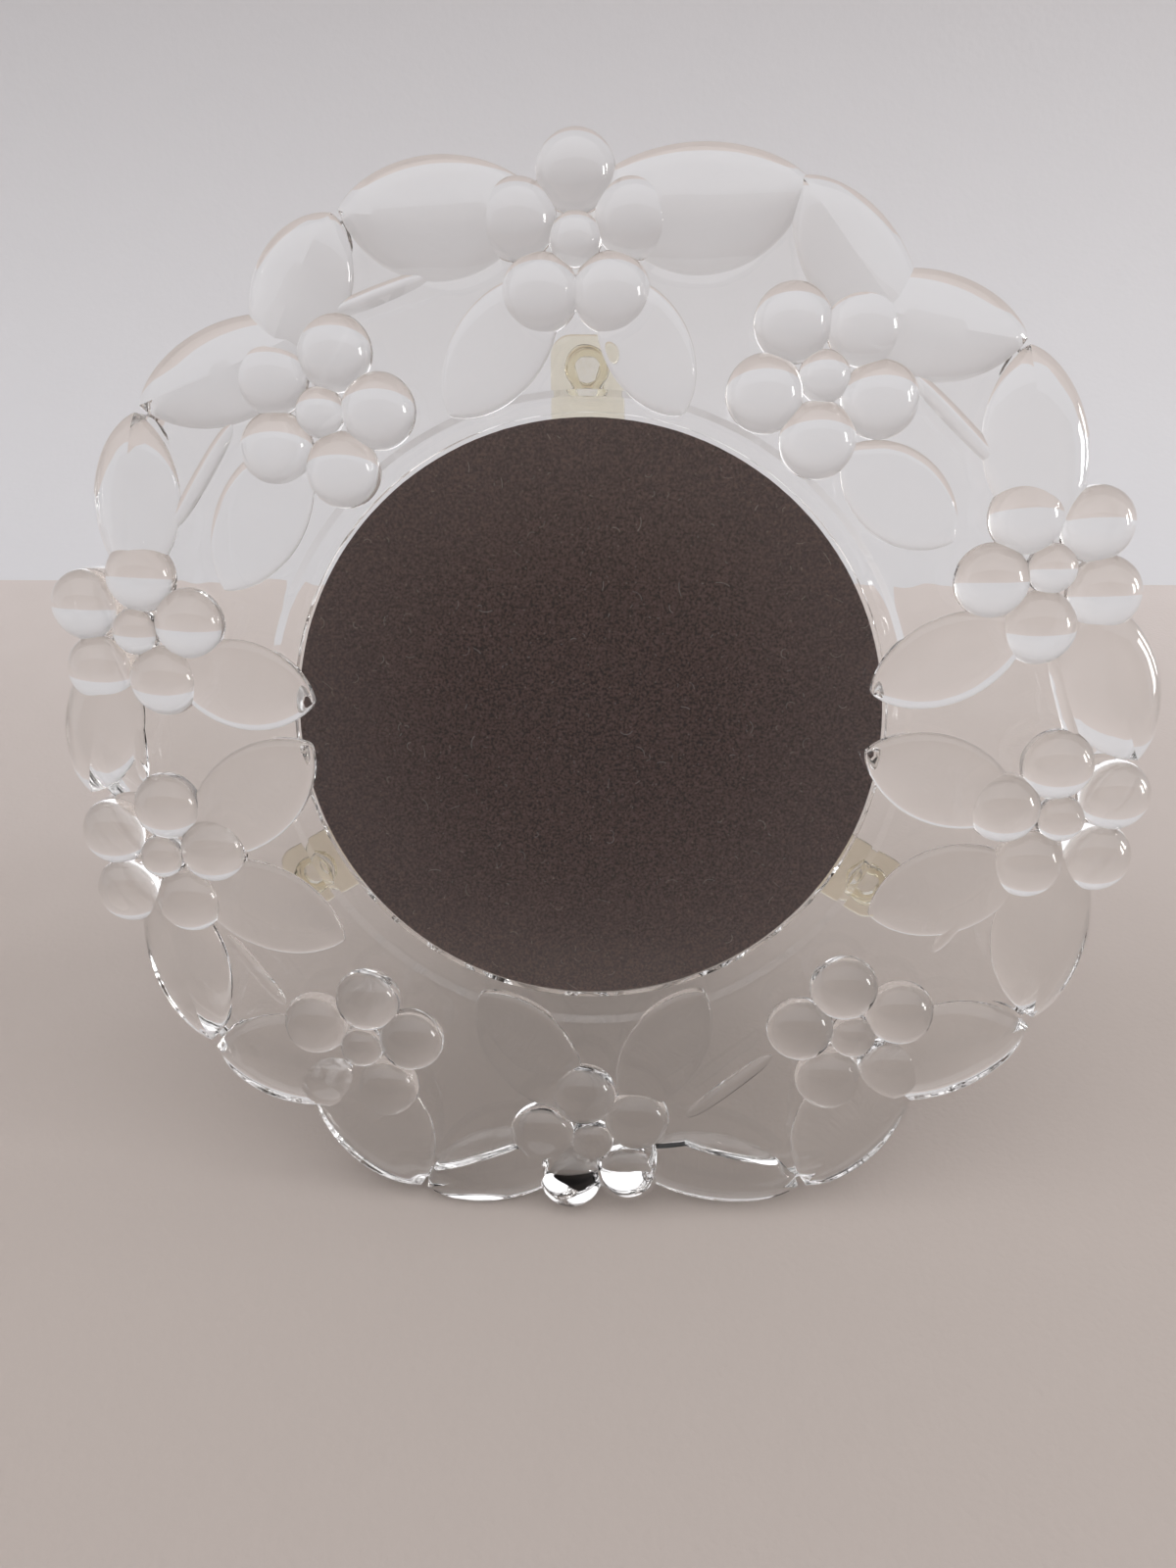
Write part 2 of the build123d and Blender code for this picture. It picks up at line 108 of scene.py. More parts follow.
# The knobs of glass in a flower: its petals, the button in their middle, and a low core that fills the ground
# between them. Heights are from the glass's back face, to the top of the straight wall and of the dome.
PETAL_COUNT = 5
PETAL_PITCH = 9.2
PETAL = {"radius": 6.0, "foot": 0.0, "wall": 8.2, "top": 13.2, "sides": 48, "steps": 14}
BUTTON = {"radius": 4.0, "foot": 3.0, "wall": 8.8, "top": 12.3, "sides": 36, "steps": 10}
CORE = {"radius": PETAL_PITCH, "foot": 0.0, "wall": 7.6, "top": GROUND_HEIGHT - 0.1, "sides": 48, "steps": 6}

# Flowers: angle, distance out from the picture's edge and turn of the petals
FLOWERS = [
    (91, 24.9, 18),
    (56.5, 16.3, 51),
    (20, 28.1, 48),
    (350, 30.1, 26),
    (311, 22.2, 30),
    (271, 26.8, 28),
    (235.5, 21.8, 9),
    (197.5, 27.8, 8),
    (168, 26.6, 8),
    (129.5, 15.4, 1),
]

# Kinds of leaf: height of the foot and the rounding over it, height of the blade's edge, rise of its crown
# and of its keel, fullness across it and thinning towards its ends. The two lowest leaves, known by the angle
# of their stalks, have a higher foot so that they stand clear of the table.
RIM_LEAF = {
    "foot": 0.0, "softening": 3.0, "edge": 8.2, "crown": 1.9, "keel": 2.0, "fullness": 0.75, "ends": 0.85,
}
INNER_LEAF = {
    "foot": 4.5, "softening": 0.8, "edge": 7.9, "crown": 2.0, "keel": 0.6, "fullness": 0.5, "ends": 0.5,
}
STEM = {
    "foot": 6.0, "softening": 0.8, "edge": 7.8, "crown": 1.8, "keel": 0.3, "fullness": 1.0, "ends": 0.5,
}
LOW_LEAF = {**RIM_LEAF, "foot": 4.0}
LOW_LEAVES = (275, 269)

# Leaves: angle and distance out of the stalk end, the same of the tip, and how far the blade's inner and
# outer sides stand off the line between them
RIM_LEAVES = [
    (89, 32.2, 68, 38.6, 12.4, 5.6),
    (50.5, 28.6, 69, 38.9, 7.8, 6.2),
    (60.5, 26.9, 42.3, 39.9, 9.1, 6.3),
    (22.5, 29.9, 41.7, 39.7, 9.2, 6.8),
    (15.5, 33.4, 357.5, 40.5, 9.2, 6.7),
    (347.5, 32.6, 327.3, 43.0, 9.7, 6.6),
    (307.5, 32.9, 326.2, 43.5, 10.7, 6.4),
    (315, 32.4, 295.6, 44.6, 10.7, 6.6),
    (275, 31.1, 294.7, 44.1, 8.0, 5.8),
    (269, 31.3, 251.4, 43.3, 9.4, 5.6),
    (231, 29.5, 250.6, 43.4, 11.2, 7.5),
    (239.5, 28.7, 221.6, 41.0, 10.3, 7.3),
    (200, 30.8, 220.6, 40.8, 8.0, 6.5),
    (170.5, 31.0, 188, 37.0, 7.6, 6.2),
    (162.5, 28.1, 144.8, 37.8, 7.5, 6.8),
    (123.5, 25.7, 143.9, 37.7, 8.4, 6.3),
    (130.5, 25.7, 115.8, 37.8, 7.6, 7.6),
    (95, 31.1, 115.1, 37.7, 10.8, 6.6),
]
INNER_LEAVES = [
    (87, 20.0, 73, 2.2, 6.5, 6.5),
    (48, 10.2, 28, 15.6, 6.8, 6.8),
    (14, 23.0, 8, -2.6, 7.0, 7.0),
    (350, 23.2, 356, -3.2, 7.5, 7.5),
    (343, 27.5, 327, 8.2, 7.75, 7.75),
    (276, 21.3, 294, 1.5, 7.0, 7.0),
    (269, 21.0, 249, 2.0, 7.5, 7.5),
    (201, 25.0, 222, 7.7, 7.75, 7.75),
    (198, 22.7, 184, -3.0, 8.0, 8.0),
    (172, 20.6, 175, -4.0, 7.5, 7.5),
    (134, 15.0, 159, 13.6, 7.25, 7.25),
    (94, 20.2, 113, 4.2, 7.0, 7.0),
]
STEMS = [
    (108.5, 24.2, 123.0, 26.4, 1.5, 1.5),
    (139.0, 24.4, 154.0, 24.8, 1.5, 1.5),
    (48.5, 24.7, 32.5, 27.0, 1.5, 1.5),
    (10.0, 26.2, 358.5, 30.4, 1.4, 1.4),
    (176.5, 27.2, 187.5, 27.2, 1.4, 1.4),
    (343.0, 24.0, 327.5, 21.5, 1.4, 1.4),
    (284.5, 24.3, 299.5, 17.9, 1.5, 1.5),
    (210.9, 24.8, 223.4, 25.1, 1.3, 1.3),
]

# Leaf meshes: rows along and columns across, the rounding and width of the ends, and the keel's softness. The
# plate between the leaves ends this far inside their tips.
LEAF_ROWS = 44
LEAF_COLUMNS = 24
LEAF_END_ROUNDING = 1.1
LEAF_END_WIDTH = 0.1
KEEL_SOFTNESS = 0.14
WEB_SETBACK = 2.5

# Finishing the glass: how far the cuts go behind its recess and under the table, and how close together two
# points are made one. Edges sharper than these angles, in degrees, show as edges on it and on other pieces.
RECESS_CUT = 5.0
TABLE_CUT_HALF = 60.0
TABLE_CUT_DEPTH = 40.0
WELD_DISTANCE = 0.002
GLASS_SHARP_ANGLE = 20
SHARP_ANGLE = 35

# Clips: angle around the picture, and their sizes, with heights from the glass's back face
CLIP_ANGLES = {"top": 90, "left": 210, "right": 330}
CLIP_OUT = 7.4
CLIP_TONGUE = 11.9
CLIP_TAIL = 5.4
CLIP_HALF_WIDTH = 6.0
CLIP_CORNER = 3.2
CLIP_FRONT = -2.3
CLIP_BACK = -3.9
CLIP_EDGE = 0.45
CLIP_COLLAR = 3.6
CLIP_COLLAR_RISE = 0.25
STUD_HOLE = 2.05
STUD_SIDES = 48
PAD_RADIUS = 3.8
PAD_THICKNESS = 0.25

# Back board: heights forward from the hinge pin, and how far its middle lies below the pin
LINING_BACK = 2.4
BOARD_BACK = 2.9
BOARD_FRONT = 5.3
BOARD_DROP = 24.0
VELVET_SIDES = 256

# Leg: places up along it and heights forward, both from the hinge pin, and its widths
LEG_TOP = -2.4
LEG_TOP_HALF_WIDTH = 13.0
LEG_FOOT_HALF_WIDTH = 22.0
LEG_FOOT = -115.906
LEG_CORNER = 4.0
LEG_FRONT = 0.8
LEG_CORE_BACK = -1.7
LEG_BACK = -2.2

# Hinge and rivets
HINGE_LEAF = 0.8
HINGE_HALF_WIDTH = 12.0
PIN_RADIUS = 1.0
RIVET_RADIUS = 1.2
CLINCH_RADIUS = 1.9
CLINCH = 0.5
RIVET_SIDES = 48
HINGE_RIVETS = [-8.0, 8.0]
HINGE_RIVET_DROP = 9.0

# Ribbon stay
RIBBON_WIDTH = 10.0
RIBBON_THICKNESS = 0.4
RIBBON_TAB = 9.0
RIBBON_BEND = 2.0
STAY_BOARD_DROP = 62.0
STAY_LEG_DROP = 68.0

# Lint on the flock's front, whose height is from the glass's back face. Each fibre starts a fixed turn on
# from the one before, so that they spread over the disc.
LINT_COUNT = 220
LINT_REACH = 48.5
LINT_TURN = 2.4
LINT_STEPS = 5
FLOCK_FRONT = 1.3

# The colour sockets of a mix node, by number because its other kinds of socket have the same names
MIX_SHARE = 0
MIX_FROM = 6
MIX_TO = 7
MIX_COLOUR = 2

# The phase of a wave texture, in radians, over one unit of its scale. A scale from per_mm, divided by it,
# makes the size one radian long, so that the bands lie 2 pi times that size apart.
WAVE_RADIANS = 20


def colour(code):
    """A colour from its sRGB hex code, turned to linear light for a shader."""
    channels = [int(code[n:n + 2], 16) / 255 for n in (1, 3, 5)]
    linear = [c / 12.92 if c <= 0.04045 else ((c + 0.055) / 1.055) ** 2.4 for c in channels]
    return (*linear, 1.0)


def add_node(tree, kind, sockets=None, **settings):
    """Add a node with its settings, and its sockets set to values or linked to other sockets."""
    made = tree.nodes.new(kind)
    for name, value in settings.items():
        setattr(made, name, value)
    for name, value in (sockets or {}).items():
        if isinstance(value, bpy.types.NodeSocket):
            tree.links.new(value, made.inputs[name])
        else:
            made.inputs[name].default_value = value
    return made


def per_mm(size):
    """The texture scale that gives a pattern features of this size in millimetres."""
    return 1 / (size * MM)


def new_material(name, sockets):
    """A material with one principled surface, then its nodes, that surface and the places on the object."""
    material = bpy.data.materials.new(name)
    material.use_nodes = True
    tree = material.node_tree
    tree.nodes.clear()
    surface = add_node(tree, "ShaderNodeBsdfPrincipled", sockets)
    add_node(tree, "ShaderNodeOutputMaterial", {"Surface": surface.outputs[0]})
    place = add_node(tree, "ShaderNodeTexCoord").outputs["Object"]
    return material, tree, surface, place


def place_in_scene(name, mesh):
    """A new object for a mesh, in the scene."""
    piece = bpy.data.objects.new(name, mesh)
    bpy.context.scene.collection.objects.link(piece)
    return piece


def loft(rings):
    """A closed mesh through rings of points, each with the same number, and flat ends."""
    shape = bmesh.new()
    loops = [[shape.verts.new(point) for point in ring] for ring in rings]
    count = len(loops[0])
    for low, high in zip(loops, loops[1:]):
        for n in range(count):
            shape.faces.new((low[n], low[(n + 1) % count], high[(n + 1) % count], high[n]))
    shape.faces.new(reversed(loops[0]))
    shape.faces.new(loops[-1])
    bmesh.ops.recalc_face_normals(shape, faces=shape.faces)
    return shape


def gather(shapes):
    """Several shapes in one."""
    whole = bmesh.new()
    for shape in shapes:
        single = bpy.data.meshes.new("single")
        shape.to_mesh(single)
        shape.free()
        whole.from_mesh(single)
        bpy.data.meshes.remove(single)
    return whole


def to_mesh(name, shape):
    """A mesh in metres from a shape in millimetres."""
    bmesh.ops.scale(shape, vec=(MM, MM, MM), verts=shape.verts)
    mesh = bpy.data.meshes.new(name)
    shape.to_mesh(mesh)
    shape.free()
    return mesh


def weld(mesh, distance):
    """Split a mesh into triangles and weld points closer together than a distance in millimetres."""
    shape = bmesh.new()
    shape.from_mesh(mesh)
    bmesh.ops.triangulate(shape, faces=shape.faces)
    bmesh.ops.remove_doubles(shape, verts=shape.verts, dist=distance * MM)
    shape.to_mesh(mesh)
    shape.free()


def soften(mesh, angle):
    """Shade a mesh smooth, apart from edges sharper than an angle in degrees."""
    mesh.polygons.foreach_set("use_smooth", [True] * len(mesh.polygons))
    mesh.set_sharp_from_angle(angle=radians(angle))


def make_piece(name, shape, place, material):
    """A piece from a shape in millimetres on its own plane, with its material and finish."""
    mesh = to_mesh(name, shape)
    mesh.transform(place)
    soften(mesh, SHARP_ANGLE)
    mesh.materials.append(material)
    piece = place_in_scene(name, mesh)
    return piece


def on_ring(angle, out):
    """A point at an angle around the picture and a distance out from its edge."""
    reach = PICTURE_RADIUS + out
    return Vector((reach * cos(radians(angle)), reach * sin(radians(angle))))


def round_ring(middle, radius, height, sides):
    """A round ring of points at a height over a plane."""
    turns = [2 * pi * n / sides for n in range(sides)]
    return [(middle[0] + radius * cos(t), middle[1] + radius * sin(t), height) for t in turns]


def quarter_turn(steps):
    """Angles in even steps through a quarter of a turn."""
    return [radians(90 * n / steps) for n in range(steps + 1)]


def turned(profile, middle, sides):
    """A turned shape through (radius, height) points around a middle."""
    return loft([round_ring(middle, radius, height, sides) for radius, height in profile])


# Pressed glass: the scalloped plate with its window
def web_points():
    """The points that the plate between the flowers and the leaf tips reaches out to, in order of angle."""
    points = [on_ring(angle, out) for angle, out, turn in FLOWERS]
    for stalk_angle, stalk_out, tip_angle, tip_out, inner, outer in RIM_LEAVES:
        stalk = on_ring(stalk_angle, stalk_out)
        tip = on_ring(tip_angle, tip_out)
        points.append(tip + (stalk - tip).normalized() * WEB_SETBACK)
    return sorted(points, key=lambda p: atan2(p.y, p.x))


def plate_reach(angle, points):
    """How far out the plate goes at an angle: to its round ground, or to the web where that is further."""
    ray = Vector((cos(angle), sin(angle)))
    reach = GROUND_RADIUS
    for a, b in zip(points, points[1:] + points[:1]):
        run = b - a
        across = ray.x * run.y - ray.y * run.x
        if abs(across) < 1e-9:
            continue
        share = (a.y * ray.x - a.x * ray.y) / -across
        distance = (a.x * run.y - a.y * run.x) / across
        if 0 <= share <= 1 and distance > 0:
            reach = max(reach, distance)
    return reach


def plate_shape():
    """The plate: a rounded rim, the flat ground, and a well with soft corners down to the window."""
    points = web_points()
    angles = [2 * pi * n / PLATE_SIDES for n in range(PLATE_SIDES)]
    reaches = [plate_reach(a, points) for a in angles]
    well = [(WELL_TOP + WELL_LIP, GROUND_HEIGHT)]
    well += [(WELL_TOP + run, GROUND_HEIGHT - drop) for run, drop in WELL_CORNER]
    well += [(WELL_FOOT - run, WINDOW_HEIGHT + drop) for run, drop in reversed(WELL_CORNER)]
    well.append((WELL_FOOT - WINDOW_LIP, WINDOW_HEIGHT))
    rim = [(-BACK_ROUND_WIDTH * (1 - sin(t)), BACK_ROUND_HEIGHT * (1 - cos(t))) for t in quarter_turn(10)]
    for t in quarter_turn(4):
        rim.append((-RIM_ROUNDING * (1 - cos(t)), GROUND_HEIGHT - RIM_ROUNDING * (1 - sin(t))))
    rings = [[(BACK_MIDDLE * cos(a), BACK_MIDDLE * sin(a), 0.0) for a in angles]]
    for inset, height in rim:
        rings.append([((r + inset) * cos(a), (r + inset) * sin(a), height) for a, r in zip(angles, reaches)])
    for radius, height in well:
        rings.append([(radius * cos(a), radius * sin(a), height) for a in angles])
    return loft(rings)


# Pressed glass: the flowers
def knob_shape(middle, radius, foot, wall, top, sides, steps):
    """A round knob of glass: a short wall with a softened foot, and a dome over it."""
    softening = 0.9
    flat_tip = 0.02
    profile = [(radius - softening, foot), (radius - 0.25 * softening, foot + 0.3 * softening)]
    profile.append((radius, foot + softening))
    for n in range(steps):
        turn = pi / 2 * n / steps
        profile.append((radius * cos(turn), wall + (top - wall) * sin(turn)))
    profile.append((radius * flat_tip, top))
    return turned(profile, middle, sides)


def petal_middles():
    """The middles of all the petals."""
    middles = []
    for angle, out, turn in FLOWERS:
        for n in range(PETAL_COUNT):
            t = radians(turn + 360 / PETAL_COUNT * n)
            middles.append(on_ring(angle, out) + Vector((cos(t), sin(t))) * PETAL_PITCH)
    return middles


# Pressed glass: the leaves
def side_reach(length, bulge, t):
    """How far a leaf's side stands off the line from stalk to tip, at a share of the way along it."""
    arc = (length * length / 4 + bulge * bulge) / (2 * bulge)
    return sqrt(max(arc * arc - (length * (t - 0.5)) ** 2, 0)) - (arc - bulge)


def leaf_shape(leaf, foot, softening, edge, crown, keel, fullness, ends):
    """A pointed leaf: a rounded foot, a crowned blade that thins towards both ends, and a keel along it."""
    stalk_angle, stalk_out, tip_angle, tip_out, inner, outer = leaf
    stalk = on_ring(stalk_angle, stalk_out)
    tip = on_ring(tip_angle, tip_out)
    along = tip - stalk
    length = along.length
    along.normalize()
    side = Vector((-along.y, along.x))
    left, right = (outer, inner) if side.dot(stalk + tip) > 0 else (inner, outer)
    rings = []
    for row in range(LEAF_ROWS + 1):
        t = 0.5 - 0.5 * cos(pi * row / LEAF_ROWS)
        rounding = LEAF_END_ROUNDING * sqrt(max(1 - abs(2 * t - 1) ** 8, 0)) + LEAF_END_WIDTH
        reach_left = side_reach(length, left - LEAF_END_ROUNDING, t) + rounding
        reach_right = side_reach(length, right - LEAF_END_ROUNDING, t) + rounding
        half = (reach_left + reach_right) / 2
        shift = (reach_left - reach_right) / 2
        thinning = 1 - ends * abs(2 * t - 1) ** 4
        inset = min(softening, half / 2)
        under = [(half - inset * (1 - sin(a)), foot + softening * (1 - cos(a))) for a in quarter_turn(8)]
        profile = [(-x, w) for x, w in under]
        for column in range(LEAF_COLUMNS + 1):
            turn = -pi / 2 + pi * column / LEAF_COLUMNS
            s = (abs(sin(turn)) ** fullness) * (1 if turn >= 0 else -1)
            slope = sqrt(s * s + KEEL_SOFTNESS ** 2) - KEEL_SOFTNESS
            ridge = 1 - slope / (sqrt(1 + KEEL_SOFTNESS ** 2) - KEEL_SOFTNESS)
            rise = crown * max(cos(turn), 0) ** fullness + keel * ridge
            profile.append((half * s, edge + thinning * rise))
        profile += reversed(under)
        middle = stalk + along * (length * t) + side * shift
        rings.append([(middle.x + side.x * x, middle.y + side.y * x, w) for x, w in profile])
    return loft(rings)


def block_shape(low, high):
    """A plain block for cutting the glass with."""
    corners = [(low[0], low[1]), (high[0], low[1]), (high[0], high[1]), (low[0], high[1])]
    return loft([[(x, y, z) for x, y in corners] for z in (low[2], high[2])])


def glass_wreath():
    """The whole pressed plate in one closed mesh, cut level where it stands."""
    joined = bpy.data.collections.new("wreath_relief")
    cut = bpy.data.collections.new("wreath_cuts")
    flower_middles = [on_ring(angle, out) for angle, out, turn in FLOWERS]
    reliefs = [knob_shape(middle, **PETAL) for middle in petal_middles()]
    reliefs += [knob_shape(middle, **BUTTON) for middle in flower_middles]
    reliefs += [knob_shape(middle, **CORE) for middle in flower_middles]
    reliefs += [leaf_shape(leaf, **(LOW_LEAF if leaf[0] in LOW_LEAVES else RIM_LEAF)) for leaf in RIM_LEAVES]
    reliefs += [leaf_shape(leaf, **INNER_LEAF) for leaf in INNER_LEAVES]
    reliefs += [leaf_shape(leaf, **STEM) for leaf in STEMS]
    for n, shape in enumerate(reliefs):
        joined.objects.link(bpy.data.objects.new("relief_%d" % n, to_mesh("relief_%d" % n, shape)))
    recess = turned([(RECESS_RADIUS, -RECESS_CUT), (RECESS_RADIUS, RECESS_DEPTH)], (0, 0), PLATE_SIDES)
    cut.objects.link(bpy.data.objects.new("recess_cut", to_mesh("recess_cut", recess)))
    low = (-TABLE_CUT_HALF, -TABLE_CUT_HALF, -TABLE_CUT_DEPTH)
    below_table = block_shape(low, (TABLE_CUT_HALF, TABLE_CUT_HALF, 0))
    table_cut = bpy.data.objects.new("table_cut", to_mesh("table_cut", below_table))
    table_cut.matrix_world = GLASS_PLACE.inverted()
    cut.objects.link(table_cut)
    body = place_in_scene("glass_wreath", to_mesh("glass_wreath", plate_shape()))
    for operation, group in (("UNION", joined), ("DIFFERENCE", cut)):
        bpy.context.scene.collection.children.link(group)
        modifier = body.modifiers.new(operation.lower(), "BOOLEAN")
        modifier.operation = operation
        modifier.solver = "MANIFOLD"
        modifier.operand_type = "COLLECTION"
        modifier.collection = group
    bpy.context.view_layer.update()
    finished = bpy.data.meshes.new_from_object(body.evaluated_get(bpy.context.evaluated_depsgraph_get()))
    body.modifiers.clear()
    body.data = finished
    for group in (joined, cut):
        for helper in list(group.objects):
            bpy.data.objects.remove(helper)
        bpy.data.collections.remove(group)
    finished.transform(GLASS_PLACE)
    weld(finished, WELD_DISTANCE)
    soften(finished, GLASS_SHARP_ANGLE)
    return body


# Clips: glue, studs and the clips that turn on them
def glue_blob(middle, seed):
    """A flat pad of glue, pressed out unevenly."""
    waves = random.Random(seed)
    lobes = [(waves.uniform(0, 2 * pi), waves.uniform(0.02, 0.05)) for n in range(4)]
    sides = 48
    outline = []
    for n in range(sides):
        turn = 2 * pi * n / sides
        waist = sum(size * (1 + cos((k + 2) * turn + start)) for k, (start, size) in enumerate(lobes))
        outline.append(1 - waist / 2)
    rings = []
    for share, height in ((0.97, -0.01), (1.0, -0.1), (0.96, -0.2), (0.88, -PAD_THICKNESS)):
        ring = round_ring((0, 0), PAD_RADIUS * share, height, sides)
        rings.append([(middle.x + x * o, middle.y + y * o, z) for (x, y, z), o in zip(ring, outline)])
    return loft(rings)


def stud_shape(middle):
    """A moulded stud: a foot on the glue, a neck through the clip and a staked, dimpled head behind."""
    profile = [
        (3.2, -0.26), (3.4, -0.45), (3.4, -2.0), (3.2, -2.2), (2.0, -2.2), (2.0, -4.0),
        (3.0, -4.0), (3.2, -4.2), (3.1, -4.5), (2.5, -4.78), (1.6, -4.88), (0.9, -4.75), (0.1, -4.65),
    ]
    return turned(profile, middle, STUD_SIDES)


def clip_outline(inset):
    """A clip's rounded outline around its stud, from tongue to tail, drawn in by an inset."""
    corner = CLIP_CORNER - inset
    middles = [
        (CLIP_TAIL - CLIP_CORNER, CLIP_HALF_WIDTH - CLIP_CORNER, 0),
        (CLIP_CORNER - CLIP_TONGUE, CLIP_HALF_WIDTH - CLIP_CORNER, 90),
        (CLIP_CORNER - CLIP_TONGUE, CLIP_CORNER - CLIP_HALF_WIDTH, 180),
        (CLIP_TAIL - CLIP_CORNER, CLIP_CORNER - CLIP_HALF_WIDTH, 270),
    ]
    points = []
    for x, y, start in middles:
        for n in range(10):
            turn = radians(start + 10 * n)
            points.append((x + corner * cos(turn), y + corner * sin(turn)))
    return points


def clip_shape(middle, angle):
    """A moulded clip: soft edges, a hole for its stud and a low collar around the hole behind."""
    outer = clip_outline(0)
    turns = [atan2(y, x) for x, y in outer]
    chamfer = 0.1
    back = CLIP_BACK + CLIP_COLLAR_RISE
    rings = []

    def hole_ring(radius, height):
        rings.append([(radius * cos(t), radius * sin(t), height) for t in turns])

    hole_ring(STUD_HOLE, CLIP_FRONT - chamfer)
    hole_ring(STUD_HOLE + chamfer, CLIP_FRONT)
    for t in quarter_turn(4):
        inset = CLIP_EDGE * (1 - sin(t))
        height = CLIP_FRONT - CLIP_EDGE * (1 - cos(t))
        rings.append([(x, y, height) for x, y in clip_outline(inset)])
    for t in quarter_turn(4):
        inset = CLIP_EDGE * (1 - cos(t))
        height = back + CLIP_EDGE * (1 - sin(t))
        rings.append([(x, y, height) for x, y in clip_outline(inset)])
    hole_ring(CLIP_COLLAR + 0.5, back)
    hole_ring(CLIP_COLLAR, CLIP_BACK + 0.03)
    hole_ring(CLIP_COLLAR - 0.2, CLIP_BACK)
    hole_ring(STUD_HOLE + chamfer, CLIP_BACK)
    hole_ring(STUD_HOLE, CLIP_BACK + chamfer)
    shape = bmesh.new()
    out = Vector((cos(radians(angle)), sin(radians(angle))))
    up = Vector((-out.y, out.x))
    loops = []
    for ring in rings:
        places = [Vector(middle) + out * x + up * y for x, y, z in ring]
        loops.append([shape.verts.new((p.x, p.y, z)) for p, (x, y, z) in zip(places, ring)])
    count = len(turns)
    for low, high in zip(loops, loops[1:] + loops[:1]):
        for n in range(count):
            shape.faces.new((low[n], low[(n + 1) % count], high[(n + 1) % count], high[n]))
    bmesh.ops.recalc_face_normals(shape, faces=shape.faces)
    return shape


# Rivets and the hinge pin
def rivet_shape(middle, seat, clinch):
    """A rivet: a low head with a dimple on its seat, a shank, and a clinched end."""
    side = 1 if seat > clinch else -1
    head = [
        (0.2, 0.30), (0.5, 0.36), (0.8, 0.47), (1.1, 0.50),
        (1.5, 0.46), (1.9, 0.33), (2.15, 0.14), (2.2, 0.04),
    ]
    profile = [(radius, seat + side * rise) for radius, rise in head]
    profile += [(2.15, seat), (RIVET_RADIUS, seat), (RIVET_RADIUS, clinch + side * CLINCH)]
    profile += [(CLINCH_RADIUS, clinch + side * CLINCH), (CLINCH_RADIUS, clinch)]
    return turned(profile, middle, RIVET_SIDES)


def pin_shape():
    """The hinge pin, with a rounded head at each end."""
    head = [(0.3, 0.58), (0.8, 0.52), (1.25, 0.36), (1.46, 0.16), (1.5, 0.02), (PIN_RADIUS, 0.0)]
    end = [(radius, HINGE_HALF_WIDTH + rise) for radius, rise in head]
    return turned([(r, -h) for r, h in end] + [(r, h) for r, h in reversed(end)], (0, 0), RIVET_SIDES)


# Velvet on the back of the board and of the leg
def board_velvet_shape():
    """The velvet on the board: a round piece with its cut edge rolled over."""
    profile = [(49.9, BOARD_BACK), (50.0, 2.78), (49.95, 2.58), (49.7, 2.45), (49.3, LINING_BACK)]
    return turned(profile, (0, -BOARD_DROP), VELVET_SIDES)


def leg_outline(inset, height):
    """The leg's outline at a height, drawn in at the top and the sides, and cut level with the table."""
    slope = (LEG_FOOT_HALF_WIDTH - LEG_TOP_HALF_WIDTH) / (LEG_TOP - LEG_FOOT)
    lean = LEAN - EASEL_ANGLE
    foot = -(HINGE_PIN.z + height * sin(lean)) / cos(lean)
    top = LEG_TOP - inset
    foot_half = LEG_TOP_HALF_WIDTH + slope * (LEG_TOP - foot) - inset
    corner = LEG_CORNER - inset
    corner_shift = 0.35
    corner_turn = 85.5
    corner_half = LEG_TOP_HALF_WIDTH - LEG_CORNER + corner_shift
    right = []
    for n in range(9):
        turn = radians(90 - corner_turn * n / 8)
        right.append((corner_half + corner * cos(turn), top - corner + corner * sin(turn)))
    right.append((foot_half, foot))
    return [(x, y, height) for x, y in right] + [(-x, y, height) for x, y in reversed(right)]


def leg_velvet_shape():
    """The velvet on the leg, with its cut edge rolled over."""
    return loft([
        leg_outline(0.1, LEG_CORE_BACK),
        leg_outline(0.02, LEG_CORE_BACK - 0.14),
        leg_outline(0.1, LEG_CORE_BACK - 0.34),
        leg_outline(0.35, LEG_CORE_BACK - 0.46),
        leg_outline(0.7, LEG_BACK),
    ])


# Ribbon stay
def ribbon_line():
    """The ends and bends of the ribbon's middle line: a tab on the board, a taut run and a tab on the leg."""
    board_height = LINING_BACK - RIBBON_THICKNESS / 2
    leg_height = LEG_FRONT + RIBBON_THICKNESS / 2
    ends = [
        BOARD_PLACE @ (Vector((0, -STAY_BOARD_DROP + RIBBON_TAB / 2, board_height)) * MM),
        BOARD_PLACE @ (Vector((0, -STAY_BOARD_DROP - RIBBON_TAB / 2, board_height)) * MM),
        LEG_PLACE @ (Vector((0, -STAY_LEG_DROP + RIBBON_TAB / 2, leg_height)) * MM),
        LEG_PLACE @ (Vector((0, -STAY_LEG_DROP - RIBBON_TAB / 2, leg_height)) * MM),
    ]
    return [end / MM for end in ends]


def bend_round(before, corner, after, room, steps):
    """A soft bend of the ribbon at a corner, that starts and ends a little way from it."""
    start = corner + (before - corner).normalized() * room
    end = corner + (after - corner).normalized() * room
    shares = [n / steps for n in range(steps + 1)]
    return [start * (1 - t) ** 2 + corner * (2 * t * (1 - t)) + end * t * t for t in shares]


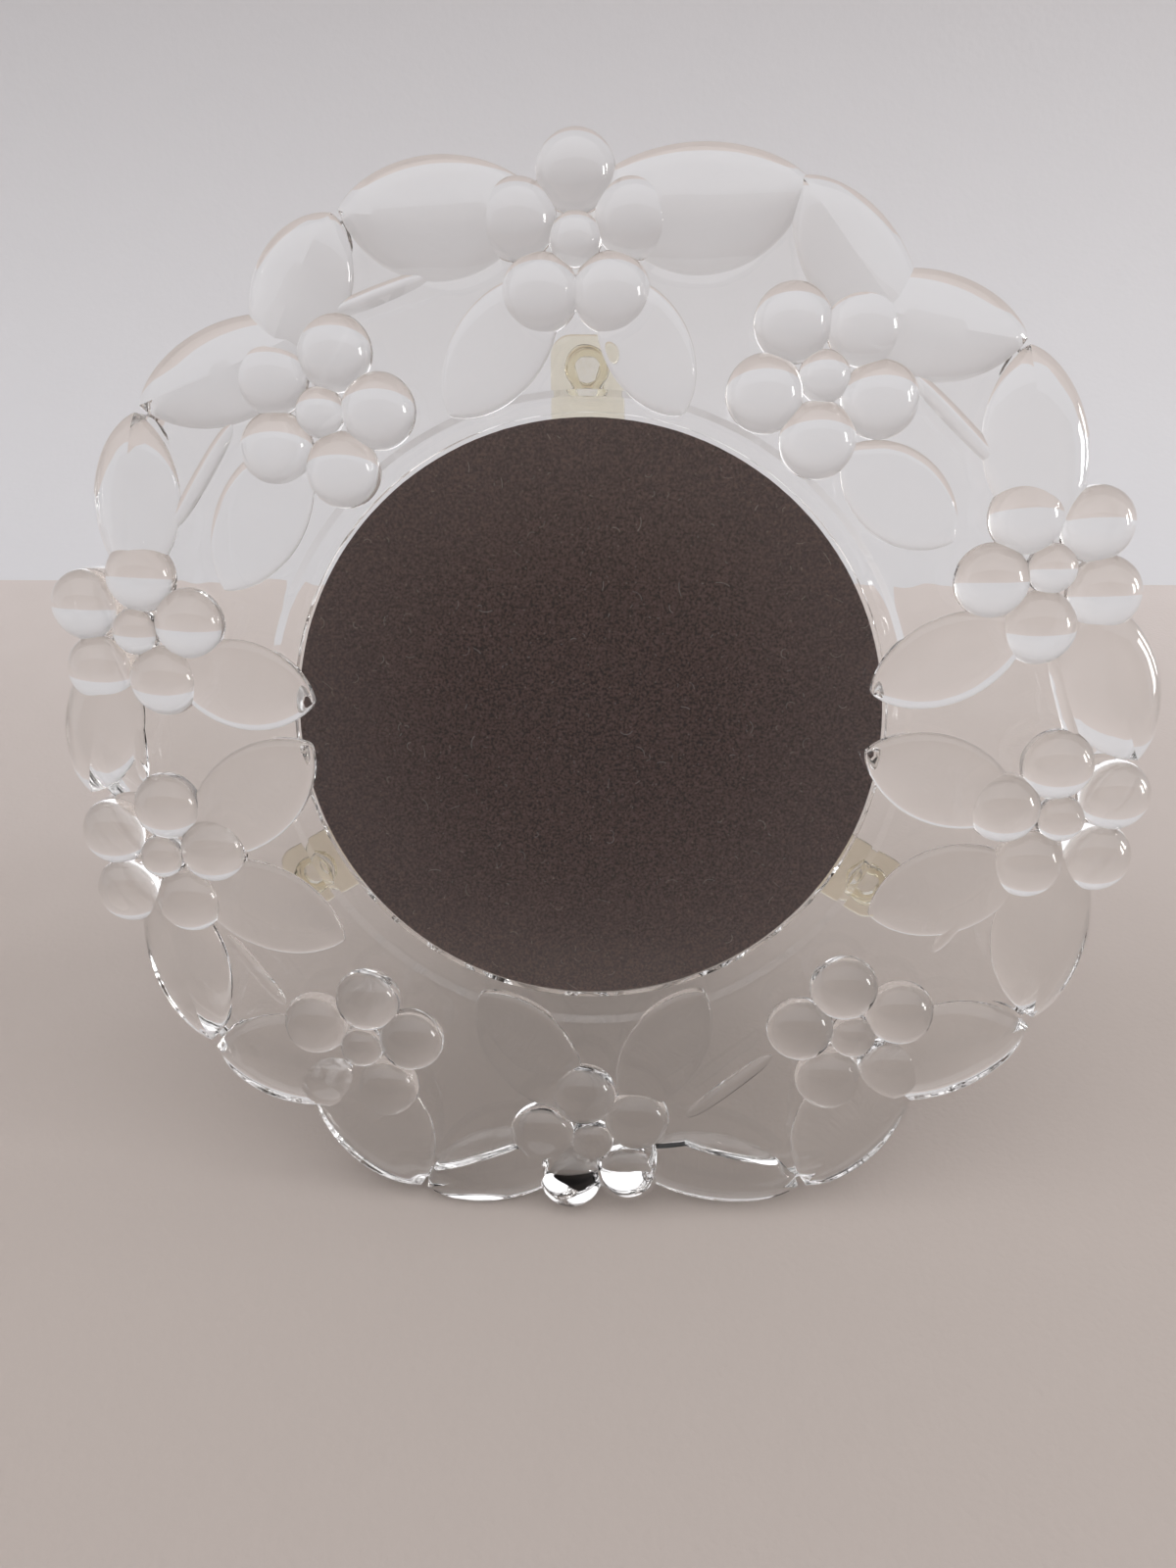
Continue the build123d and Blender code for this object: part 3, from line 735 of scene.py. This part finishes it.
def ribbon_shape():
    """The ribbon: a thin woven strip with rounded selvedges along its middle line."""
    board_end, board_bend, leg_bend, leg_end = ribbon_line()
    line = [board_end.lerp(board_bend, n / 4) for n in range(4)]
    line += bend_round(board_end, board_bend, leg_bend, RIBBON_BEND, 8)
    line += [board_bend.lerp(leg_bend, n / 20) for n in range(2, 19)]
    line += bend_round(board_bend, leg_bend, leg_end, RIBBON_BEND, 8)
    line += [leg_bend.lerp(leg_end, n / 4) for n in range(1, 5)]
    half = RIBBON_WIDTH / 2
    thick = RIBBON_THICKNESS / 2
    thin = thick * 0.75
    edge = half - 0.12
    selvedge = half - 0.8
    section = [(-half, 0), (-edge, -thick), (-selvedge, -thin), (selvedge, -thin), (edge, -thick)]
    section += [(half, 0), (edge, thick), (selvedge, thin), (-selvedge, thin), (-edge, thick)]
    rings = []
    for n, point in enumerate(line):
        run = (line[min(n + 1, len(line) - 1)] - line[max(n - 1, 0)]).normalized()
        out = Vector((0, run.z, -run.y))
        rings.append([point + Vector((x, 0, 0)) + out * z for x, z in section])
    return loft(rings)


# Lint on the flock
def lint_shape():
    """Loose fibres on the flocked disc, in the gap behind the window."""
    draw = random.Random(11)
    fibres = []
    for n in range(LINT_COUNT):
        reach = LINT_REACH * sqrt(draw.random())
        spot = Vector((reach * cos(n * LINT_TURN), reach * sin(n * LINT_TURN)))
        heading = draw.uniform(0, 2 * pi)
        bend = draw.uniform(-3.2, 3.2)
        length = draw.choice((0.35, 0.5, 0.7, 1.0, 1.6, 2.4))
        thick = draw.uniform(0.022, 0.042)
        rings = []
        for step in range(LINT_STEPS + 1):
            run = Vector((cos(heading), sin(heading)))
            out = Vector((-run.y, run.x)) * thick
            base = FLOCK_FRONT + thick
            rings.append([
                (spot.x + out.x, spot.y + out.y, base - thick * 0.6),
                (spot.x - out.x, spot.y - out.y, base - thick * 0.6),
                (spot.x, spot.y, base + thick),
            ])
            spot = spot + run * (length / LINT_STEPS)
            heading += bend / LINT_STEPS
        fibres.append(loft(rings))
    return gather(fibres)


# Materials
# Soda-lime glass, pressed in a mould and fire-polished: clear, with sharp reflections and a faint waviness
pressed_glass, tree, surface, place = new_material("pressed_soda_lime_glass", {
    "Base Color": colour("#FEFEFD"),
    "Roughness": 0.0,
    "IOR": 1.52,
    "Transmission Weight": 1.0,
})
waviness = add_node(tree, "ShaderNodeTexNoise", {"Vector": place, "Scale": per_mm(7), "Detail": 1.0})
ripple = add_node(tree, "ShaderNodeBump", {
    "Height": waviness.outputs[0],
    "Strength": 0.3,
    "Distance": 0.0003,
})
tree.links.new(ripple.outputs[0], surface.inputs["Normal"])


# Acrylic, moulded clear, and yellowed with age in the thinner clips: a pale warm tint, and a gloss dulled by
# fine scuffs
def moulded_acrylic(name, pale, yellow):
    """A clear moulded plastic with a tint that changes from place to place."""
    material, tree, surface, place = new_material(name, {"IOR": 1.49, "Transmission Weight": 1.0})
    ageing = add_node(tree, "ShaderNodeTexNoise", {"Vector": place, "Scale": per_mm(5), "Detail": 2.0})
    tint = add_node(tree, "ShaderNodeMix", {
        MIX_SHARE: ageing.outputs[0],
        MIX_FROM: pale,
        MIX_TO: yellow,
    }, data_type="RGBA")
    scuffs = add_node(tree, "ShaderNodeTexNoise", {"Vector": place, "Scale": per_mm(0.6), "Detail": 5.0})
    dulled = add_node(tree, "ShaderNodeMapRange", {
        "Value": scuffs.outputs[0],
        "From Min": 0.45,
        "From Max": 0.75,
        "To Min": 0.03,
        "To Max": 0.16,
    })
    tree.links.new(tint.outputs[MIX_COLOUR], surface.inputs["Base Color"])
    tree.links.new(dulled.outputs[0], surface.inputs["Roughness"])
    return material


yellowed_acrylic = moulded_acrylic("yellowed_moulded_acrylic", colour("#FCF9EC"), colour("#FAF4E0"))
clear_acrylic = moulded_acrylic("clear_moulded_acrylic", colour("#FEFDF9"), colour("#FEFCF5"))

# Clear contact glue, dried and yellowed: cloudy, with small bubbles
dried_glue, tree, surface, place = new_material("dried_contact_glue", {
    "Roughness": 0.12,
    "IOR": 1.47,
    "Transmission Weight": 1.0,
})
bubbles = add_node(tree, "ShaderNodeTexVoronoi", {"Vector": place, "Scale": per_mm(0.9)})
cloud = add_node(tree, "ShaderNodeMapRange", {
    "Value": bubbles.outputs["Distance"],
    "From Min": 0.15,
    "From Max": 0.45,
})
tint = add_node(tree, "ShaderNodeMix", {
    MIX_SHARE: cloud.outputs[0],
    MIX_FROM: colour("#FCF9EE"),
    MIX_TO: colour("#FEFDF8"),
}, data_type="RGBA")
tree.links.new(tint.outputs[MIX_COLOUR], surface.inputs["Base Color"])

# Nylon flock on card: deep and soft, a slightly reddish black, with the pile drawn coarser than its 0.1 mm so
# that it shows, a painted reflection that lightens it towards the edge of the disc, and specked with dust
flocked_card, tree, surface, place = new_material("flocked_card", {
    "Roughness": 0.95,
    "Specular IOR Level": 0.2,
    "Sheen Weight": 0.15,
    "Sheen Roughness": 0.6,
})
pile = add_node(tree, "ShaderNodeTexNoise", {"Vector": place, "Scale": per_mm(0.45), "Detail": 3.0})
depth = add_node(tree, "ShaderNodeMapRange", {
    "Value": pile.outputs[0],
    "From Min": 0.36,
    "From Max": 0.66,
})
brushed = add_node(tree, "ShaderNodeMix", {
    MIX_SHARE: depth.outputs[0],
    MIX_FROM: colour("#2F1F1C"),
    MIX_TO: colour("#765A54"),
}, data_type="RGBA")
# Painted reflection: the flock's tone is lightened towards the edge of the disc
off_middle = add_node(tree, "ShaderNodeVectorMath", {
    0: place,
    1: GLASS_PLACE.translation,
}, operation="DISTANCE")
edge = add_node(tree, "ShaderNodeMapRange", {
    "Value": off_middle.outputs["Value"],
    "From Min": 0.018,
    "From Max": 0.050,
    "To Max": 0.16,
}, interpolation_type="SMOOTHSTEP")
painted_reflection = add_node(tree, "ShaderNodeMix", {
    MIX_SHARE: edge.outputs[0],
    MIX_FROM: brushed.outputs[MIX_COLOUR],
    MIX_TO: colour("#A79A98"),
}, data_type="RGBA")
dust = add_node(tree, "ShaderNodeTexVoronoi", {"Vector": place, "Scale": per_mm(1.5)})
speck = add_node(tree, "ShaderNodeMapRange", {
    "Value": dust.outputs["Distance"],
    "From Min": 0.06,
    "From Max": 0.11,
    "To Min": 0.55,
    "To Max": 0.0,
})
dusted = add_node(tree, "ShaderNodeMix", {
    MIX_SHARE: speck.outputs[0],
    MIX_FROM: painted_reflection.outputs[MIX_COLOUR],
    MIX_TO: colour("#A79A93"),
}, data_type="RGBA")
nap = add_node(tree, "ShaderNodeBump", {"Height": pile.outputs[0], "Strength": 0.6, "Distance": 0.0002})
tree.links.new(dusted.outputs[MIX_COLOUR], surface.inputs["Base Color"])
tree.links.new(nap.outputs[0], surface.inputs["Normal"])

# Cotton lint: pale, soft fibres
cotton_lint, tree, surface, place = new_material("cotton_lint", {
    "Roughness": 0.9,
    "Sheen Weight": 0.3,
})
yarn = add_node(tree, "ShaderNodeTexNoise", {"Vector": place, "Scale": per_mm(3), "Detail": 1.0})
shade = add_node(tree, "ShaderNodeMix", {
    MIX_SHARE: yarn.outputs[0],
    MIX_FROM: colour("#8A7E79"),
    MIX_TO: colour("#CDC4BE"),
}, data_type="RGBA")
tree.links.new(shade.outputs[MIX_COLOUR], surface.inputs["Base Color"])

# Hardboard, wood fibre pressed under heat: brown and matt, with short pale and dark fibres
hardboard, tree, surface, place = new_material("pressed_hardboard", {"Roughness": 0.8})
fibres = add_node(tree, "ShaderNodeTexNoise", {
    "Vector": place,
    "Scale": per_mm(1.4),
    "Detail": 6.0,
    "Roughness": 0.7,
    "Distortion": 1.2,
})
pressed = add_node(tree, "ShaderNodeMapRange", {
    "Value": fibres.outputs[0],
    "From Min": 0.3,
    "From Max": 0.7,
})
browned = add_node(tree, "ShaderNodeMix", {
    MIX_SHARE: pressed.outputs[0],
    MIX_FROM: colour("#4A3524"),
    MIX_TO: colour("#7C5F43"),
}, data_type="RGBA")
felted = add_node(tree, "ShaderNodeBump", {
    "Height": fibres.outputs[0],
    "Strength": 0.4,
    "Distance": 0.0002,
})
tree.links.new(browned.outputs[MIX_COLOUR], surface.inputs["Base Color"])
tree.links.new(felted.outputs[0], surface.inputs["Normal"])

# Cotton velvet, cut pile: black, with a soft sheen and patches where the pile lies another way; the pile is
# drawn coarser than its 0.15 mm so that it shows
velvet, tree, surface, place = new_material("black_cotton_velvet", {
    "Roughness": 1.0,
    "Specular IOR Level": 0.1,
    "Sheen Weight": 0.55,
    "Sheen Roughness": 0.35,
    "Sheen Tint": colour("#9A9AA2"),
})
lie = add_node(tree, "ShaderNodeTexNoise", {
    "Vector": place,
    "Scale": per_mm(14),
    "Detail": 3.0,
    "Distortion": 0.8,
})
tufts = add_node(tree, "ShaderNodeTexNoise", {"Vector": place, "Scale": per_mm(0.5), "Detail": 2.0})
mixed = add_node(tree, "ShaderNodeMath", {0: lie.outputs[0], 1: tufts.outputs[0]}, operation="MULTIPLY")
shown = add_node(tree, "ShaderNodeMapRange", {
    "Value": mixed.outputs[0],
    "From Min": 0.12,
    "From Max": 0.4,
})
blacked = add_node(tree, "ShaderNodeMix", {
    MIX_SHARE: shown.outputs[0],
    MIX_FROM: colour("#0D0C0E"),
    MIX_TO: colour("#2B292D"),
}, data_type="RGBA")
nap = add_node(tree, "ShaderNodeBump", {"Height": tufts.outputs[0], "Strength": 0.7, "Distance": 0.0003})
tree.links.new(blacked.outputs[MIX_COLOUR], surface.inputs["Base Color"])
tree.links.new(nap.outputs[0], surface.inputs["Normal"])

# Black paper with a linen emboss: matt, with crossed threads, drawn coarser than real ones, 3.8 mm apart
paper, tree, surface, place = new_material("black_linen_paper", {"Roughness": 0.65})
warp = add_node(tree, "ShaderNodeTexWave", {
    "Vector": place,
    "Scale": per_mm(0.6) / WAVE_RADIANS,
    "Distortion": 1.0,
})
weft = add_node(tree, "ShaderNodeTexWave", {
    "Vector": place,
    "Scale": per_mm(0.6) / WAVE_RADIANS,
    "Distortion": 1.0,
}, bands_direction="Z")
crossed = add_node(tree, "ShaderNodeMath", {
    0: warp.outputs["Fac"],
    1: weft.outputs["Fac"],
}, operation="MULTIPLY")
linen = add_node(tree, "ShaderNodeMix", {
    MIX_SHARE: crossed.outputs[0],
    MIX_FROM: colour("#171617"),
    MIX_TO: colour("#2A2829"),
}, data_type="RGBA")
embossed = add_node(tree, "ShaderNodeBump", {
    "Height": crossed.outputs[0],
    "Strength": 0.4,
    "Distance": 0.0001,
})
tree.links.new(linen.outputs[MIX_COLOUR], surface.inputs["Base Color"])
tree.links.new(embossed.outputs[0], surface.inputs["Normal"])

# Steel, stamped and nickel plated: bright, a little warm, with fine drawn lines along the hinge
nickel_steel, tree, surface, place = new_material("nickel_plated_steel", {"Metallic": 1.0})
drawn = add_node(tree, "ShaderNodeMapping", {"Vector": place, "Scale": (0.06, 1.0, 1.0)})
lines = add_node(tree, "ShaderNodeTexNoise", {
    "Vector": drawn.outputs[0],
    "Scale": per_mm(0.25),
    "Detail": 3.0,
})
worn = add_node(tree, "ShaderNodeTexNoise", {"Vector": place, "Scale": per_mm(2.5), "Detail": 4.0})
gloss = add_node(tree, "ShaderNodeMapRange", {
    "Value": lines.outputs[0],
    "From Min": 0.3,
    "From Max": 0.7,
    "To Min": 0.18,
    "To Max": 0.38,
})
plated = add_node(tree, "ShaderNodeMapRange", {
    "Value": worn.outputs[0],
    "From Min": 0.4,
    "From Max": 0.75,
})
metal = add_node(tree, "ShaderNodeMix", {
    MIX_SHARE: plated.outputs[0],
    MIX_FROM: colour("#C3BEB4"),
    MIX_TO: colour("#9C968B"),
}, data_type="RGBA")
tree.links.new(metal.outputs[MIX_COLOUR], surface.inputs["Base Color"])
tree.links.new(gloss.outputs[0], surface.inputs["Roughness"])

# Polyester ribbon, woven with ribs across it: black with a soft gloss, the ribs drawn coarser than real ones,
# 4.4 mm apart
ribbed_ribbon, tree, surface, place = new_material("ribbed_polyester_ribbon", {
    "Roughness": 0.55,
    "Sheen Weight": 0.3,
    "Sheen Roughness": 0.4,
})
ribs = add_node(tree, "ShaderNodeTexWave", {
    "Vector": place,
    "Scale": per_mm(0.7) / WAVE_RADIANS,
}, bands_direction="Y")
threads = add_node(tree, "ShaderNodeTexNoise", {"Vector": place, "Scale": per_mm(0.4), "Detail": 2.0})
weave = add_node(tree, "ShaderNodeMath", {
    0: ribs.outputs["Fac"],
    1: threads.outputs[0],
}, operation="MULTIPLY")
dyed = add_node(tree, "ShaderNodeMix", {
    MIX_SHARE: weave.outputs[0],
    MIX_FROM: colour("#121114"),
    MIX_TO: colour("#3A383D"),
}, data_type="RGBA")
ribbing = add_node(tree, "ShaderNodeBump", {
    "Height": ribs.outputs["Fac"],
    "Strength": 0.6,
    "Distance": 0.0002,
})
tree.links.new(dyed.outputs[MIX_COLOUR], surface.inputs["Base Color"])
tree.links.new(ribbing.outputs[0], surface.inputs["Normal"])


# Table and backdrop, matt emulsion paint: pale, with the roller's fine orange peel, and on the table a
# painted shade that darkens it near the frame and low in front
def painted(name, far, near, front, peel):
    """A matt paint with a peel of a size in mm, its tone going from far back to a painted shade near the
    frame, mixed with random patches, and to a darker painted shade low in front.
    """
    material, tree, surface, place = new_material(name, {"Roughness": 0.75, "Specular IOR Level": 0.3})
    patches = add_node(tree, "ShaderNodeTexNoise", {"Vector": place, "Scale": per_mm(70), "Detail": 3.0})
    split = add_node(tree, "ShaderNodeSeparateXYZ", {0: place})
    depth = split.outputs["Y"]
    # Painted shade: the tone darkens from far back towards the frame, mixed with random patches of tone
    patches_and_shade = add_node(tree, "ShaderNodeMath", {
        0: patches.outputs[0],
        1: 0.12,
        2: depth,
    }, operation="MULTIPLY_ADD")
    share = add_node(tree, "ShaderNodeMapRange", {
        "Value": patches_and_shade.outputs[0],
        "From Min": 0.36,
        "From Max": 0.10,
    })
    # Painted shade: darker low down towards the front and on the front sweep
    forward = add_node(tree, "ShaderNodeMapRange", {
        "Value": depth,
        "From Min": -0.2,
        "From Max": -0.9,
    }, interpolation_type="SMOOTHSTEP")
    low = add_node(tree, "ShaderNodeMapRange", {
        "Value": split.outputs["Z"],
        "From Min": 0.6,
        "From Max": 0.2,
    }, interpolation_type="SMOOTHSTEP")
    shaded = add_node(tree, "ShaderNodeMath", {
        0: forward.outputs[0],
        1: low.outputs[0],
    }, operation="MULTIPLY")
    tone = add_node(tree, "ShaderNodeMix", {
        MIX_SHARE: share.outputs[0],
        MIX_FROM: far,
        MIX_TO: near,
    }, data_type="RGBA")
    tone = add_node(tree, "ShaderNodeMix", {
        MIX_SHARE: shaded.outputs[0],
        MIX_FROM: tone.outputs[MIX_COLOUR],
        MIX_TO: front,
    }, data_type="RGBA")
    grain = add_node(tree, "ShaderNodeTexNoise", {"Vector": place, "Scale": per_mm(peel), "Detail": 3.0})
    relief = add_node(tree, "ShaderNodeBump", {
        "Height": grain.outputs[0],
        "Strength": 0.25,
        "Distance": 0.0004,
    })
    tree.links.new(tone.outputs[MIX_COLOUR], surface.inputs["Base Color"])
    tree.links.new(relief.outputs[0], surface.inputs["Normal"])
    return material


# The table's near and front tones are painted shade
table_paint = painted("matt_table_paint_painted_shade", colour("#D7CEC9"), colour("#C1B7B0"), colour("#9A9593"), 1.2)
wall_paint = painted("matt_wall_paint", colour("#DCDCDE"), colour("#D8D7D9"), colour("#D8D7D9"), 3.5)

# The pieces
wreath = glass_wreath()
wreath.data.materials.clear()
wreath.data.materials.append(pressed_glass)
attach(wreath, "frame")
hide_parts("glass_body")

clip_middles = {name: on_ring(angle, CLIP_OUT) for name, angle in CLIP_ANGLES.items()}
pads = gather([glue_blob(middle, seed) for seed, middle in enumerate(clip_middles.values())])
glue = make_piece("glue_pads", pads, GLASS_PLACE, dried_glue)
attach(glue, "frame")
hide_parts("adhesive_pads")
studs = gather([stud_shape(middle) for middle in clip_middles.values()])
studs = make_piece("staked_studs", studs, GLASS_PLACE, clear_acrylic)
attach(studs, "frame")
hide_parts("clip_studs")
for name, middle in clip_middles.items():
    shape = clip_shape(middle, CLIP_ANGLES[name])
    clip = make_piece("moulded_clip_" + name, shape, GLASS_PLACE, yellowed_acrylic)
    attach(clip, "clip_" + name)
    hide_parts("turn_clip_" + name)

lint = make_piece("lint_fibres", lint_shape(), GLASS_PLACE, cotton_lint)
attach(lint, "frame")

# Rivets: the piece, the node that it replaces, its body, the thickness under the heads, and the middles
board_hinge_middles = [(x, HINGE_RIVET_DROP) for x in HINGE_RIVETS]
leg_hinge_middles = [(x, -HINGE_RIVET_DROP) for x in HINGE_RIVETS]
rivet_groups = [
    ("domed_rivets_board", "board_hinge_rivets", "frame", HINGE_LEAF, board_hinge_middles),
    ("domed_rivet_stay_board", "stay_board_rivet", "frame", RIBBON_THICKNESS, [(0, -STAY_BOARD_DROP)]),
    ("domed_rivets_leg", "strut_hinge_rivets", "easel", HINGE_LEAF, leg_hinge_middles),
    ("domed_rivet_stay_leg", "stay_strut_rivet", "easel", RIBBON_THICKNESS, [(0, -STAY_LEG_DROP)]),
]
for name, node, body, held, middles in rivet_groups:
    if body == "frame":
        place, seat, clinch = BOARD_PLACE, LINING_BACK - held, BOARD_FRONT
    else:
        place, seat, clinch = LEG_PLACE, LEG_FRONT + held, LEG_CORE_BACK
    rivets = gather([rivet_shape(middle, seat, clinch) for middle in middles])
    rivets = make_piece(name, rivets, place, nickel_steel)
    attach(rivets, body)
    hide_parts(node)

across = Matrix.Rotation(radians(90), 4, "Y")
pin = make_piece("headed_pin", pin_shape(), BOARD_PLACE @ across, nickel_steel)
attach(pin, "frame")
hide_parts("hinge_pin")

board_velvet = make_piece("board_velvet", board_velvet_shape(), BOARD_PLACE, velvet)
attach(board_velvet, "frame")
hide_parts("back_lining")
leg_velvet = make_piece("leg_velvet", leg_velvet_shape(), LEG_PLACE, velvet)
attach(leg_velvet, "easel")
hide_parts("strut_velvet")

ribbon = make_piece("woven_stay", ribbon_shape(), Matrix.Identity(4), ribbed_ribbon)
board_end, board_bend, leg_bend, leg_end = ribbon_line()
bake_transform(ribbon)
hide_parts("ribbon_stay")

finishes = {
    "front_lining": flocked_card,
    "backing_board": hardboard,
    "board_hinge_leaf": nickel_steel,
    "strut_core": hardboard,
    "strut_facing": paper,
    "strut_hinge_leaf": nickel_steel,
}
for name, material in finishes.items():
    node = frame["nodes"][name]
    node.data.materials.clear()
    node.data.materials.append(material)

# Table, a backdrop that sweeps up where the wall meets it, and a front that sweeps up far before it, darker
# low down by painted shade.
# The table lies a hair under the glass, so that the glass's ground flat shows as glass and not as paint.
BACKDROP_START = 300.0
BACKDROP_SWEEP = 250.0
BACKDROP_HEIGHT = 3000.0
FRONT_START = -650.0
FRONT_SWEEP = 450.0
FRONT_HEIGHT = 1300.0
STAGE_HALF_WIDTH = 3000.0
TABLE_GAP = 0.2


def sheet_strip(name, profile, material):
    """A sheet along a profile of (depth, height) points, for the stage."""
    shape = bmesh.new()
    left = [shape.verts.new((-STAGE_HALF_WIDTH, y, z)) for y, z in profile]
    right = [shape.verts.new((STAGE_HALF_WIDTH, y, z)) for y, z in profile]
    for n in range(len(profile) - 1):
        shape.faces.new((left[n], right[n], right[n + 1], left[n + 1])).smooth = True
    piece = place_in_scene(name, to_mesh(name, shape))
    piece.data.materials.append(material)


def swept(start, radius, height, way):
    """The profile of a sweep from the table up to a wall, to the back (1) or to the front (-1)."""
    turns = quarter_turn(32)
    curve = [(start + way * radius * sin(t), radius * (1 - cos(t)) - TABLE_GAP) for t in turns]
    return [*curve, (start + way * radius, height)]


front_sweep = swept(FRONT_START, FRONT_SWEEP, FRONT_HEIGHT, -1)
back_sweep = swept(BACKDROP_START, BACKDROP_SWEEP, BACKDROP_HEIGHT, 1)
sheet_strip("table", [*reversed(front_sweep), (BACKDROP_START, -TABLE_GAP)], table_paint)
sheet_strip("backdrop", back_sweep, wall_paint)

# Camera, at the photograph's place
camera = bpy.data.objects.new("camera", bpy.data.cameras.new("camera"))
bpy.context.scene.collection.objects.link(camera)
camera.location = Vector((11.1, -135.7, 176.4)) * MM
camera.rotation_euler = Euler((radians(57.484), radians(1.048), radians(3.228)))
camera.data.sensor_width = 36.0
camera.data.lens = 24.975
camera.data.clip_start = 0.01
bpy.context.scene.camera = camera

# Light: a window of two panes on the right, and a room that is brightest overhead
WINDOW_DISTANCE = 2.5
PANE_OFFSET = 0.35
PANE_HEIGHT = 0.55
PANE_SIZE = (0.32, 0.75)
PANE_POWER = 10
PANE_TINT = "#FFFDFB"
LIGHT_TARGET = (0, 0.1, 0.1)


def soft_light(name, place, target, size, power, tint):
    """A soft rectangular light that faces a point."""
    lamp = bpy.data.lights.new(name, "AREA")
    lamp.shape = "RECTANGLE"
    lamp.size, lamp.size_y = size
    lamp.energy = power
    lamp.color = colour(tint)[:3]
    light = bpy.data.objects.new(name, lamp)
    bpy.context.scene.collection.objects.link(light)
    light.location = place
    light.rotation_mode = "QUATERNION"
    light.rotation_quaternion = (Vector(target) - Vector(place)).to_track_quat("-Z", "Y")


for name, offset in (("window_near", -PANE_OFFSET), ("window_far", PANE_OFFSET)):
    place = (WINDOW_DISTANCE, offset, PANE_HEIGHT)
    soft_light(name, place, LIGHT_TARGET, PANE_SIZE, PANE_POWER, PANE_TINT)

world = bpy.data.worlds.new("soft_room")
bpy.context.scene.world = world
world.use_nodes = True
room = world.node_tree
room.nodes.clear()
direction = add_node(room, "ShaderNodeTexCoord").outputs["Generated"]
split = add_node(room, "ShaderNodeSeparateXYZ", {0: direction})
upward = add_node(room, "ShaderNodeMapRange", {
    "Value": split.outputs["Z"],
    "From Min": 0.0,
    "From Max": 1.0,
    "To Min": 0.72,
    "To Max": 1.56,
})
sideways = add_node(room, "ShaderNodeMapRange", {
    "Value": split.outputs["X"],
    "From Min": -1.0,
    "From Max": 1.0,
    "To Min": 0.93,
    "To Max": 1.07,
})
level = add_node(room, "ShaderNodeMath", {
    0: upward.outputs[0],
    1: sideways.outputs[0],
}, operation="MULTIPLY")
glow = add_node(room, "ShaderNodeBackground", {"Color": colour("#F7F6F8"), "Strength": level.outputs[0]})
add_node(room, "ShaderNodeOutputWorld", {"Surface": glow.outputs[0]})

scene = bpy.context.scene
scene.view_settings.view_transform = "Standard"
scene.cycles.max_bounces = 24
scene.cycles.transmission_bounces = 24
scene.cycles.glossy_bounces = 8
scene.cycles.use_denoising = True
